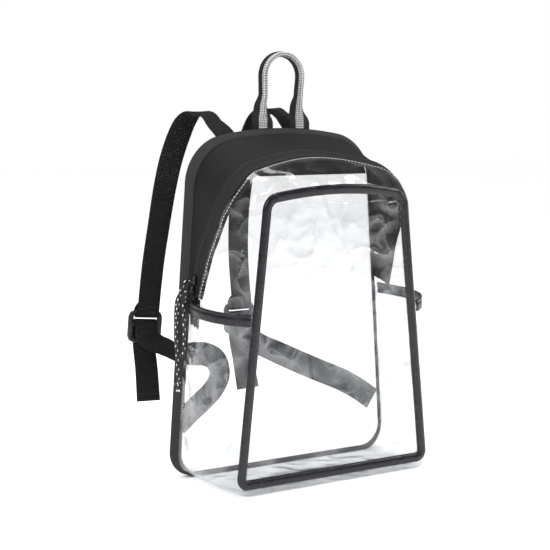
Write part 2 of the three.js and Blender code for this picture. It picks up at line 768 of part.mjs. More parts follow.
function shoulderStrap(name) {
  const route = strapRoutes[name];
  const rootX = (route[0].x + 0.03) * routeHalf;
  const rows = [
    { x: rootX, y: yokeFace, z: yokeFloor + strapSeam.low * yokeHeight },
    { x: rootX, y: yokeFace, z: yokeFloor + strapSeam.high * yokeHeight },
    ...route.map((row) => ({
      x: row.x * routeHalf,
      y: overBinding + row.back * (buckleReach - bendRadius),
      z: row.height * backHeight,
      roll: row.roll,
      yaw: row.yaw,
    })),
    ...buckleRows(name, turnRound(slotPlay / 2, topBarHeight, 180, 360)),
    ...buckleRows(name, [
      [slotPlay * 2, bendRadius - gap * 2, topBarHeight + buckleBar],
      [slotPlay * 3, bendRadius / 2, topBarHeight + buckleBar * 1.6],
    ]),
  ];
  return ribbon(rows, webbingWidth, webbingThickness, rows.length * 2);
}

// Lower webbing: from the lower back corner, round behind the back, up the buckle's front, over the grip
// bar and down behind it as a tail
const cornerPlace = { across: 1.07, height: 0.151 };
const tailLength = 62.5;
const tailRows = [
  { across: 2.2, behind: 0.3, down: 0, turn: 0 },
  { across: 7, behind: -1.5, down: 0.45, turn: -8 },
  { across: 8.4, behind: -10.5, down: 1, turn: -20 },
];
const lowerRoutes = {
  left: [
    { x: -0.945, back: 0.006, height: 0.1827, roll: -57 },
    { x: -0.81, back: 0.03, height: 0.2115, roll: -55 },
    { x: -0.675, back: 0.07, height: 0.2445, roll: -42 },
    { x: -0.6, back: 0.125, height: 0.283, roll: -8 },
    { x: -0.62, back: 0.2, height: 0.3215, roll: 35 },
    { x: -0.7, back: 0.287, height: 0.339, roll: 66 },
    { x: -0.789, back: 0.368, height: 0.3407, roll: 68 },
    { x: -0.846, back: 0.4645, height: 0.3407, roll: 42 },
    { x: -0.915, back: 0.561, height: 0.345, roll: 16 },
    { x: -0.956, back: 0.65, height: 0.352, roll: 8 },
    { x: -1.0, back: 0.725, height: 0.361, roll: 8 },
    { x: -1.055, back: 0.79, height: 0.37, roll: 6 },
  ],
  right: [
    { x: 0.93, back: 0.006, height: 0.183, roll: 57 },
    { x: 0.72, back: 0.03, height: 0.2225, roll: 58 },
    { x: 0.5, back: 0.1, height: 0.255, roll: 64 },
    { x: 0.31, back: 0.25, height: 0.285, roll: 66 },
    { x: 0.14, back: 0.48, height: 0.315, roll: 52 },
    { x: 0.0, back: 0.7, height: 0.342, roll: 30 },
    { x: -0.07, back: 0.82, height: 0.368, roll: 10 },
  ],
};

function lowerStrap(name, side) {
  const route = lowerRoutes[name];
  const tall = buckleHeight / 2;
  const tail = tailRows.map((row) => {
    const [place] = buckleRows(name, [[row.across, bendRadius + row.behind, -tall - row.down * tailLength]]);
    return { ...place, yaw: place.yaw + row.turn };
  });
  const root = { x: side * cornerPlace.across * routeHalf, y: overBinding, z: cornerPlace.height * backHeight };
  const rows = [
    { ...root, roll: route[0].roll },
    ...route.map((row) => ({
      x: row.x * routeHalf,
      y: overBinding + row.back * buckleReach,
      z: row.height * backHeight,
      roll: row.roll,
    })),
    ...buckleRows(name, [[0.5, -bendRadius - gap * 6, -buckleBar * 2]]),
    ...buckleRows(name, turnRound(0, gripBarRise, 180, 0)),
    ...tail,
  ];
  return ribbon(rows, webbingWidth, webbingThickness, rows.length * 2);
}

// Zip sliders on the left end of the zip, and the cord pulls that hang from them
const sliderLift = zipCoilRise + gap;

function zipSlider(u) {
  const halfLength = (sliderLength / 2) * sharePerHeight;
  const halfWidth = sliderWidth / 2 / depth;
  const sections = steps(-1, 1, 4).map((s) => {
    const top = sliderLift + sliderHeight * (1 - 0.45 * s * s);
    const half = halfWidth * (1 - 0.25 * s * s);
    const middle = zipMiddle(u);
    const row = (raises) =>
      [-1, -0.5, 0.5, 1].map((t, i) => bodyPoint(-1, u + s * halfLength, middle + t * half, raises[i]));
    const crown = row([top * 0.7, top, top, top * 0.7]);
    return wallSection(crown, row(new Array(4).fill(sliderLift)));
  });
  return loft(sections, false);
}

const lowerSliderAt = zipStart + 0.009;
const upperSliderAt = zipStart + 0.026;

// Routes of the two cord pulls, point by point
const lowerCordRoute = [
  [-127.7, 30, 199.5],
  [-130.5, 31.5, 199],
  [-133.6, 35, 196],
  [-135, 39.5, 189],
  [-135.2, 42, 176],
  [-135.2, 42.5, 160],
  [-135.2, 42, 144],
  [-135.2, 39.5, 135.5],
  [-135.2, 33.5, 131.5],
  [-135.2, 27.5, 134.5],
  [-135.2, 25, 143],
  [-135.2, 24.5, 160],
  [-135.2, 25.5, 176],
  [-134, 27, 187],
  [-130.5, 28, 193],
];
const upperCordRoute = [
  [-126.6, 27, 210.5],
  [-130, 26, 210.5],
  [-134.5, 25, 208],
  [-138, 25.5, 201],
  [-139.4, 28, 190],
  [-139.6, 31, 175],
  [-139.6, 32.5, 158],
  [-139.6, 32, 140],
  [-139.4, 31, 124],
  [-139.2, 30, 108],
];

function cord(route) {
  const curve = new THREE.CatmullRomCurve3(route.map((p) => new THREE.Vector3(...p)));
  const circle = new THREE.Shape();
  for (let i = 0; i < cordSides; i += 1) {
    const turn = (i / cordSides) * 2 * Math.PI;
    const x = (cordDiameter / 2) * Math.cos(turn);
    const y = (cordDiameter / 2) * Math.sin(turn);
    if (i === 0) circle.moveTo(x, y);
    else circle.lineTo(x, y);
  }
  const options = { steps: route.length * 2, extrudePath: curve, bevelEnabled: false };
  return new THREE.ExtrudeGeometry(circle, options);
}

// Half sizes of the knot on the upper pull, in cord diameters
const knotWidthShare = 1.3;
const knotLengthShare = 1.9;

function pullKnot() {
  const end = upperCordRoute[upperCordRoute.length - 1];
  const halfWidth = cordDiameter * knotWidthShare;
  const halfLength = cordDiameter * knotLengthShare;
  const geometry = new THREE.SphereGeometry(1, 10, 8);
  geometry.scale(halfWidth, halfWidth, halfLength);
  geometry.translate(end[0], end[1], end[2] - halfLength - gap);
  return geometry;
}

// Folded cloth tab inside the shell under the left end of the zip
const tabHeight = 30;
const tabWidth = 19;
const tabFolds = [0, 3.2, 0.6, 4.2, 1];

function zipEndTab() {
  const drop = tabHeight * sharePerHeight;
  const middle = zipMiddle(zipStart);
  const sections = steps(0, 1, 6).map((t) => {
    const u = zipStart - 0.004 - t * drop;
    const half = (tabWidth / 2 / depth) * (1 - 0.35 * t * t);
    const at = (depthIn) =>
      tabFolds.map((fold, i) => {
        const d = middle + half * (i / 2 - 1);
        return bodyPoint(-1, u, d, -(clearWall + gap * 2 + depthIn + fold * (0.3 + 0.7 * t)));
      });
    return wallSection(at(0), at(clothWall));
  });
  return loft(sections, false);
}

add("back_panel", "clear", backPanel());
add("back_yoke", "cloth", backYoke());
add("back_binding", "binding", backBinding());
add("top_gusset", "cloth", topGusset());
add("main_zip", "binding", mainZip());
add("clear_gusset", "clear", clearGusset());
add("front_panel", "clear", frontPanel());
add("pocket_panel", "clear", pocketPanel());
add("pocket_binding", "glossy", pocketBinding());
add("pocket_top_band", "glossy", pocketTopBand());
for (const side of [-1, 1]) {
  const name = sideName(side);
  add(`side_pocket_${name}`, "clear", sidePocket(side));
  add(`side_band_${name}`, "glossy", sideBand(side));
  add(`shoulder_strap_${name}`, "webbing", shoulderStrap(name));
  add(`buckle_${name}`, "plastic", buckle(name));
  add(`lower_strap_${name}`, "webbing", lowerStrap(name, side));
}
add("grab_handle", "melange", grabHandle());
add("zip_slider_lower", "plastic", zipSlider(lowerSliderAt));
add("zip_slider_upper", "plastic", zipSlider(upperSliderAt));
add("pull_cord_lower", "webbing", cord(lowerCordRoute));
add("pull_cord_upper", "webbing", cord(upperCordRoute));
add("pull_knot", "webbing", pullKnot());
add("zip_end_tab", "cloth", zipEndTab());

export default backpack;
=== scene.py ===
"""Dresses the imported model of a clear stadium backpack: film, cloth, binding, webbing, zip and cords."""

import logging
import math
from dataclasses import dataclass
from enum import Enum
from functools import cached_property, lru_cache
from typing import Callable, Iterable, NamedTuple, Optional, Sequence, Union

import bmesh
import bpy
from mathutils import Matrix, Vector, noise

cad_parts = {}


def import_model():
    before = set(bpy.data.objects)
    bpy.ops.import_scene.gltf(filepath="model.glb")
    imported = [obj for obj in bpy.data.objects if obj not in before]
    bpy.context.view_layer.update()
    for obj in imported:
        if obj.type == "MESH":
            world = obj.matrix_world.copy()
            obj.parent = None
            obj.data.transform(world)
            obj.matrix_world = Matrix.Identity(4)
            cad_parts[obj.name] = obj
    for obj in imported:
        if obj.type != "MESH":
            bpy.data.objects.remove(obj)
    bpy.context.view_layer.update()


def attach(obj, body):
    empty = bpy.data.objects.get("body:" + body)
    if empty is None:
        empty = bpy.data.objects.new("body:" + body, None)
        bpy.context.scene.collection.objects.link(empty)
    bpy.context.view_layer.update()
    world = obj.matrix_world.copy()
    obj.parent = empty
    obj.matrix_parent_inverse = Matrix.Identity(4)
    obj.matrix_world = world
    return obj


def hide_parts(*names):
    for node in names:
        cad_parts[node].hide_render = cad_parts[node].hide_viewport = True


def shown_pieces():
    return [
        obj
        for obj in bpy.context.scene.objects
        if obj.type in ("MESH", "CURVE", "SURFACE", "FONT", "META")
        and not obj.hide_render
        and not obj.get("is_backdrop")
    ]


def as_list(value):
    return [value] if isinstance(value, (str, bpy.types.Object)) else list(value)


MM = 0.001
UV_NAME = "metres"
LOG = logging.getLogger("backpack")
Rows = list[list[Vector]]
Table = tuple[tuple[float, ...], ...]
Place = Callable[[float, float, float], Vector]
CLOTH_SPECULAR = 0.25
FAR = 900.0
WORDS = "left", "right"


class Value:
    """An output of a shader node, with arithmetic that adds Math nodes."""

    def __init__(self, tree: "Recipe", socket: bpy.types.NodeSocket) -> None:
        """Keeps the tree that the socket belongs to."""
        self.tree = tree
        self.socket = socket

    def math(self, operation: str, *others: "Number") -> "Value":
        """Adds a Math node.

        Args:
            operation: the Math node's operation.
            others: its further operands.

        Returns:
            The node's result.
        """
        return self.tree.node("ShaderNodeMath", {"operation": operation}, dict(enumerate((self, *others))))

    def __add__(self, other: "Number") -> "Value":
        """Sum."""
        return self.math("ADD", other)

    __radd__ = __add__

    def __mul__(self, other: "Number") -> "Value":
        """Product."""
        return self.math("MULTIPLY", other)

    __rmul__ = __mul__

    def __sub__(self, other: "Number") -> "Value":
        """Difference."""
        return self.math("SUBTRACT", other)

    def __rsub__(self, other: "Number") -> "Value":
        """Reflected difference."""
        return (self * -1.0) + other

    def __pow__(self, other: "Number") -> "Value":
        """Power."""
        return self.math("POWER", other)

    def __abs__(self) -> "Value":
        """Absolute value."""
        return self.math("ABSOLUTE")

    def below(self, limit: "Number") -> "Value":
        """1 where this is below the limit, else 0."""
        return self.math("LESS_THAN", limit)

    def above(self, limit: "Number") -> "Value":
        """1 where this is above the limit, else 0."""
        return self.math("GREATER_THAN", limit)

    def wave(self, pitch: float) -> "Value":
        """A smooth wave from 0 to 1 with this pitch."""
        return (self * (2 * math.pi / pitch)).math("SINE") * 0.5 + 0.5

    def clamped(self) -> "Value":
        """This value kept between 0 and 1."""
        return self.tree.node("ShaderNodeClamp", {}, {0: self})


Number = Union[Value, float]
Colour = tuple[float, float, float]


class Recipe:
    """The node tree of one material."""

    def __init__(self, name: str) -> None:
        """Makes an empty material of this name."""
        self.material = bpy.data.materials.new(name)
        self.material.use_nodes = True
        self.nodes = self.material.node_tree.nodes
        self.nodes.clear()

    def node(
        self,
        kind: str,
        settings: Optional[dict] = None,
        inputs: Optional[dict] = None,
        output: Union[int, str] = 0,
    ) -> Value:
        """Adds one node.

        Args:
            kind: the node's type.
            settings: its properties.
            inputs: values or links by socket name or number.
            output: the socket to give back.

        Returns:
            The chosen output.
        """
        made = self.nodes.new(kind)
        for name, value in (settings or {}).items():
            setattr(made, name, value)
        for name, value in (inputs or {}).items():
            socket = made.inputs[name]
            if isinstance(value, Value):
                self.material.node_tree.links.new(value.socket, socket)
            else:
                socket.default_value = value
        return Value(self, made.outputs[output])

    def along_across(self) -> tuple[Value, Value]:
        """Distances along and across the piece, in metres."""
        split = {"Vector": self.node("ShaderNodeUVMap", {"uv_map": UV_NAME})}
        along, across = (self.node("ShaderNodeSeparateXYZ", {}, split, axis) for axis in "XY")
        return along, across

    def grain(self, scale: float, detail: float = 3.0) -> Value:
        """Noise from 0 to 1 on the object's own coordinates.

        Args:
            scale: repeats in a metre.
            detail: its octaves.

        Returns:
            The noise.
        """
        place = self.node("ShaderNodeTexCoord", output="Object")
        return self.node("ShaderNodeTexNoise", {}, {"Vector": place, "Scale": scale, "Detail": detail})

    def blend(self, factor: Number, first: Union[Colour, Value], second: Union[Colour, Value]) -> Value:
        """A colour between two colours.

        Args:
            factor: 0 for the first and 1 for the second.
            first: a colour.
            second: a colour.

        Returns:
            The mixed colour.
        """
        ends = [c if isinstance(c, Value) else (*c, 1.0) for c in (first, second)]
        return self.node("ShaderNodeMix", {"data_type": "RGBA"}, {0: factor, 6: ends[0], 7: ends[1]}, 2)

    def shades(self, factor: Number, colour: Colour, light: float) -> Value:
        """A colour between the given one and one that is lighter by a factor."""
        return self.blend(factor, colour, tuple(c * light for c in colour))

    def bump(self, height: Value, distance: float, strength: float = 1.0) -> Value:
        """A normal from a height, whose full step is the distance in metres."""
        inputs = {"Height": height, "Distance": distance, "Strength": strength}
        return self.node("ShaderNodeBump", {}, inputs)

    def surface(self, **inputs: object) -> Value:
        """A Principled shader, with sockets named with _ for each space."""
        named = {name.replace("_", " "): value for name, value in inputs.items()}
        return self.node("ShaderNodeBsdfPrincipled", {}, named)

    def done(self, shader: Value) -> bpy.types.Material:
        """Links the shader to the output and gives the material back."""
        end = self.nodes.new("ShaderNodeOutputMaterial")
        self.material.node_tree.links.new(shader.socket, end.inputs["Surface"])
        return self.material


@dataclass(frozen=True)
class Finish:
    """What a piece is made of."""

    name: str
    slot: str

    @lru_cache(maxsize=None)
    def material(self) -> bpy.types.Material:
        """The finish's one material."""
        return self.mixed(Recipe(self.name))

    def mixed(self, recipe: Recipe) -> bpy.types.Material:
        """The material from its recipe."""
        raise NotImplementedError


@dataclass(frozen=True)
class ClearFilm(Finish):
    """Glossy clear film with soft folds, which shows by its gloss and its grey edges."""

    tint: Colour = (0.978, 0.981, 0.984)
    mirror: Colour = (0.9, 0.91, 0.92)
    veil: float = 0.012
    edge: float = 0.85
    glint: float = 0.05
    fold_depth: float = 0.006
    fold_scale: float = 13.0
    ridge_scale: float = 24.0
    ripple_scale: float = 70.0
    gloss_scale: float = 9.0

    def mixed(self, recipe: Recipe) -> bpy.types.Material:
        """The material from its recipe."""
        folds = recipe.grain(self.fold_scale, 2.0)
        ridges = 1.0 - abs(recipe.grain(self.ridge_scale, 1.0) * 2.0 - 1.0)
        ripples = recipe.grain(self.ripple_scale, 2.0)
        height = folds + ridges ** 3.0 * 0.4 + ripples * 0.1
        normal = recipe.bump(height, self.fold_depth)
        gloss = recipe.surface(
            Base_Color=(*self.mirror, 1.0),
            Metallic=1.0,
            Roughness=recipe.grain(self.gloss_scale, 2.0) * 0.1 + 0.05,
            Normal=normal,
        )
        grazing = {"Blend": 0.3, "Normal": normal}
        facing = recipe.node("ShaderNodeLayerWeight", {}, grazing, "Facing")
        factor = (facing ** 3.0 * self.edge + ridges ** 9.0 * self.glint + self.veil).clamped()
        clear = recipe.node("ShaderNodeBsdfTransparent", {}, {"Color": (*self.tint, 1.0)})
        return recipe.done(recipe.node("ShaderNodeMixShader", {}, {0: factor, 1: clear, 2: gloss}))


@dataclass(frozen=True)
class PlainWeave(Finish):
    """Black cloth with a fine plain weave."""

    colour: Colour = (0.005, 0.005, 0.0053)
    light: float = 2.1
    mottle_scale: float = 55.0
    pitch: float = 0.0011
    depth: float = 0.00022

    def mixed(self, recipe: Recipe) -> bpy.types.Material:
        """The material from its recipe."""
        along, across = recipe.along_across()
        threads = along.wave(self.pitch) * 0.45 + across.wave(self.pitch) * 0.55
        mottle = recipe.grain(self.mottle_scale)
        tone = threads * 0.5 + mottle * 0.5
        normal = recipe.bump(threads + mottle * 0.6, self.depth, 0.8)
        shader = recipe.surface(
            Base_Color=recipe.shades(tone, self.colour, self.light),
            Roughness=mottle * 0.15 + 0.62,
            Specular_IOR_Level=CLOTH_SPECULAR,
            Normal=normal,
        )
        return recipe.done(shader)


@dataclass(frozen=True)
class RibbedTape(Finish):
    """Tape with ribs across its length, or webbing with coarser ones."""

    colour: Colour = (0.03, 0.03, 0.031)
    light: float = 2.0
    mottle_scale: float = 48.0
    pitch: float = 0.0016
    depth: float = 0.00035
    roughness: float = 0.6

    def mixed(self, recipe: Recipe) -> bpy.types.Material:
        """The material from its recipe."""
        along, across = recipe.along_across()
        ribs = along.wave(self.pitch)
        warp = across.wave(self.pitch * 0.9)
        mottle = recipe.grain(self.mottle_scale)
        tone = ribs * 0.5 + warp * 0.15 + mottle * 0.35
        normal = recipe.bump(ribs + warp * 0.3, self.depth, 0.9)
        shader = recipe.surface(
            Base_Color=recipe.shades(tone, self.colour, self.light),
            Roughness=mottle * 0.12 + self.roughness,
            Specular_IOR_Level=CLOTH_SPECULAR,
            Normal=normal,
        )
        return recipe.done(shader)


@dataclass(frozen=True)
class GlossTape(Finish):
    """Soft glossy black tape with shallow puckers."""

    colour: Colour = (0.006, 0.0055, 0.007)
    light: float = 2.6
    pucker: float = 0.0012
    pucker_scale: float = 95.0
    pitch: float = 0.0012

    def mixed(self, recipe: Recipe) -> bpy.types.Material:
        """The material from its recipe."""
        along, across = recipe.along_across()
        puckers = recipe.grain(self.pucker_scale)
        weave = along.wave(self.pitch) * 0.5 + across.wave(self.pitch) * 0.5
        normal = recipe.bump(puckers + weave * 0.06, self.pucker, 0.7)
        shader = recipe.surface(
            Base_Color=recipe.shades(puckers, self.colour, self.light),
            Roughness=puckers * 0.18 + 0.16,
            Specular_IOR_Level=0.3,
            Coat_Weight=0.15,
            Coat_Roughness=0.12,
            Normal=normal,
        )
        return recipe.done(shader)


@dataclass(frozen=True)
class StripedWebbing(Finish):
    """Black webbing with a pale flecked stripe along its middle."""

    dark: Colour = (0.011, 0.011, 0.012)
    pale: Colour = (0.5, 0.5, 0.52)
    stripe: float = 0.0058
    stripe_edge: float = 0.0005
    mottle_scale: float = 60.0
    pitch: float = 0.0021
    depth: float = 0.0004

    def mixed(self, recipe: Recipe) -> bpy.types.Material:
        """The material from its recipe."""
        along, across = recipe.along_across()
        ribs = along.wave(self.pitch)
        cells = (along.wave(self.pitch * 1.25) - across.wave(self.pitch * 1.05)).above(-0.12)
        middle = abs(across).below(self.stripe)
        edge_line = abs(abs(across) - self.stripe * 0.93).below(self.stripe_edge)
        mottle = recipe.grain(self.mottle_scale)
        flecks = (cells * 0.75 + mottle * 0.35) * middle * (1.0 - edge_line * 0.8)
        colour = recipe.blend(flecks.clamped(), self.dark, self.pale)
        normal = recipe.bump(ribs + cells * 0.5, self.depth, 0.9)
        shader = recipe.surface(
            Base_Color=colour,
            Roughness=mottle * 0.1 + 0.66,
            Specular_IOR_Level=CLOTH_SPECULAR,
            Normal=normal,
        )
        return recipe.done(shader)


@dataclass(frozen=True)
class Moulded(Finish):
    """Moulded plastic or coated metal with a fine grain."""

    colour: Colour = (0.007, 0.007, 0.0075)
    roughness: float = 0.38
    metallic: float = 0.0
    light: float = 1.9
    speck_scale: float = 900.0
    speck_depth: float = 0.00008
    cloud_scale: float = 120.0

    def mixed(self, recipe: Recipe) -> bpy.types.Material:
        """The material from its recipe."""
        speck = recipe.grain(self.speck_scale, 2.0)
        cloud = recipe.grain(self.cloud_scale, 2.0)
        shader = recipe.surface(
            Base_Color=recipe.shades(cloud, self.colour, self.light),
            Roughness=cloud * 0.16 + self.roughness,
            Metallic=self.metallic,
            Normal=recipe.bump(speck, self.speck_depth, 0.6),
        )
        return recipe.done(shader)


@dataclass(frozen=True)
class FleckedCord(Finish):
    """Braided black cord with pale flecks."""

    dark: Colour = (0.012, 0.012, 0.013)
    pale: Colour = (0.85, 0.85, 0.86)
    pitch: float = 0.0058
    slant: tuple[float, float] = (0.6, 1.3)
    limit: float = 0.9
    mottle_scale: float = 140.0
    depth: float = 0.0003

    def mixed(self, recipe: Recipe) -> bpy.types.Material:
        """The material from its recipe."""
        along, across = recipe.along_across()
        down, over = self.slant
        left = (along * down + across * over).wave(self.pitch)
        right = (along * down - across * over).wave(self.pitch)
        mottle = recipe.grain(self.mottle_scale)
        flecks = (left * right + mottle * 0.3).above(self.limit)
        colour = recipe.blend(flecks, self.dark, self.pale)
        shader = recipe.surface(
            Base_Color=colour,
            Roughness=mottle * 0.2 + 0.5,
            Normal=recipe.bump(left.math("MAXIMUM", right), self.depth, 0.9),
        )
        return recipe.done(shader)


@dataclass(frozen=True)
class Thread(Finish):
    """Sewing thread."""

    colour: Colour = (0.75, 0.75, 0.74)
    dark_share: float = 0.75
    fuzz_scale: float = 1500.0
    depth: float = 0.0001

    def mixed(self, recipe: Recipe) -> bpy.types.Material:
        """The material from its recipe."""
        fuzz = recipe.grain(self.fuzz_scale, 2.0)
        colour = recipe.blend(fuzz, tuple(c * self.dark_share for c in self.colour), self.colour)
        normal = recipe.bump(fuzz, self.depth)
        return recipe.done(recipe.surface(Base_Color=colour, Roughness=fuzz * 0.2 + 0.5, Normal=normal))


FILM = ClearFilm("clear film", "clear_plastic")
PANEL_FILM = ClearFilm("back film", "clear_plastic", veil=0.02, fold_depth=0.002)
CLOTH = PlainWeave("black cloth", "black_cloth")
BINDING = RibbedTape("ribbed binding", "ribbed_binding", colour=(0.014, 0.014, 0.0145), light=2.2)
ZIP_TAPE = RibbedTape(
    "zip tape",
    "zip_tape",
    colour=(0.009, 0.009, 0.0095),
    light=2.2,
    pitch=0.0012,
    depth=0.0002,
)
WEBBING = RibbedTape(
    "black webbing",
    "black_webbing",
    colour=(0.003, 0.003, 0.0033),
    pitch=0.0019,
    depth=0.0005,
)
GLOSS = GlossTape("gloss binding", "gloss_binding")
STRIPED = StripedWebbing("striped webbing", "striped_webbing")
PLASTIC = Moulded("black plastic", "black_plastic")
METAL = Moulded("black metal", "black_metal", colour=(0.02, 0.02, 0.021), roughness=0.28, metallic=0.7)
CORD = FleckedCord("flecked cord", "flecked_cord")
PALE_THREAD = Thread("pale thread", "clear_plastic")
DARK_THREAD = Thread("dark thread", "black_cloth", colour=(0.03, 0.03, 0.031))


@dataclass
class Skin:
    """A surface through rows of points in millimetres.

    Attributes:
        name: the piece's name.
        rows: the points, row by row.
        ring: the last row joins the first.
        tube: each row is a closed loop.
        caps: a tube's two ends are closed.
        core: a point that the faces of an open surface look away from.
        across: distances across a row for the pattern, in place of measured ones.
    """

    name: str
    rows: Rows
    ring: bool = False
    tube: bool = False
    caps: bool = False
    core: Vector = Vector((0, 0, 180.0))
    across: Optional[Sequence[float]] = None

    def build(self) -> bpy.types.Object:
        """Makes the mesh, with its distances along and across as its UV map.

        Returns:
            The new object, in metres.
        """
        count, width = len(self.rows), len(self.rows[0])
        middle = width // 2
        along = [0.0]
        for i in range(1, count + 1):
            step = (self.rows[i % count][middle] - self.rows[i - 1][middle]).length
            along.append(along[-1] + step)
        widest = self.rows[count // 2]
        over = [0.0]
        for j in range(1, width + 1):
            over.append(over[-1] + (widest[j % width] - widest[j - 1]).length)
        over = [v - over[-1 if self.tube else width - 1] / 2 for v in over]
        if self.across is not None:
            over = [*self.across, self.across[0]]
        mesh = bmesh.new()
        vertices = [[mesh.verts.new(p * MM) for p in row] for row in self.rows]
        layer = mesh.loops.layers.uv.new(UV_NAME)
        for i in range(count if self.ring else count - 1):
            for j in range(width if self.tube else width - 1):
                corners = [(i, j), (i + 1, j), (i + 1, j + 1), (i, j + 1)]
                face = mesh.faces.new([vertices[a % count][b % width] for a, b in corners])
                for loop, (a, b) in zip(face.loops, corners):
                    loop[layer].uv = (along[a] * MM, over[b] * MM)
        if self.caps:
            for row, flip in ((vertices[0], False), (vertices[-1], True)):
                face = mesh.faces.new(row[::-1] if flip else row)
                for loop in face.loops:
                    loop[layer].uv = (0.0, 0.0)
        if self.tube and (self.caps or self.ring):
            bmesh.ops.recalc_face_normals(mesh, faces=mesh.faces)
        else:
            core = self.core * MM
            mesh.normal_update()
            if sum((f.calc_center_median() - core).dot(f.normal) * f.calc_area() for f in mesh.faces) < 0:
                bmesh.ops.reverse_faces(mesh, faces=mesh.faces)
        return as_object(self.name, mesh)


def as_object(name: str, mesh: bmesh.types.BMesh) -> bpy.types.Object:
    """Turns a bmesh into a smooth object at the origin.

    Args:
        name: the object's name.
        mesh: its faces, freed here.

    Returns:
        The new object.
    """
    data = bpy.data.meshes.new(name)
    mesh.to_mesh(data)
    mesh.free()
    data.shade_smooth()
    made = bpy.data.objects.new(name, data)
    bpy.context.scene.collection.objects.link(made)
    return made


def walled(piece: bpy.types.Object, thickness: float) -> bpy.types.Object:
    """Gives an open surface its wall, inwards.

    Args:
        piece: the surface.
        thickness: the wall in millimetres.

    Returns:
        The same piece.
    """
    wall = piece.modifiers.new("wall", "SOLIDIFY")
    wall.thickness = thickness * MM
    wall.offset = -1.0
    return piece


def dress(piece: bpy.types.Object, finish: Finish, *nodes: str) -> bpy.types.Object:
    """Gives a piece its finish and its body, and hides the CAD nodes that it stands for.

    Args:
        piece: the finished piece.
        finish: its finish.
        nodes: CAD nodes that it replaces.

    Returns:
        The same piece.
    """
    if piece.data.materials:
        piece.data.materials[0] = finish.material()
    else:
        piece.data.materials.append(finish.material())
    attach(piece, "root")
    if nodes:
        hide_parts(*nodes)
    return piece


class Lie(Enum):
    """How each repeated bar lies on its path."""

    ALONG = "along"
    ACROSS = "across"


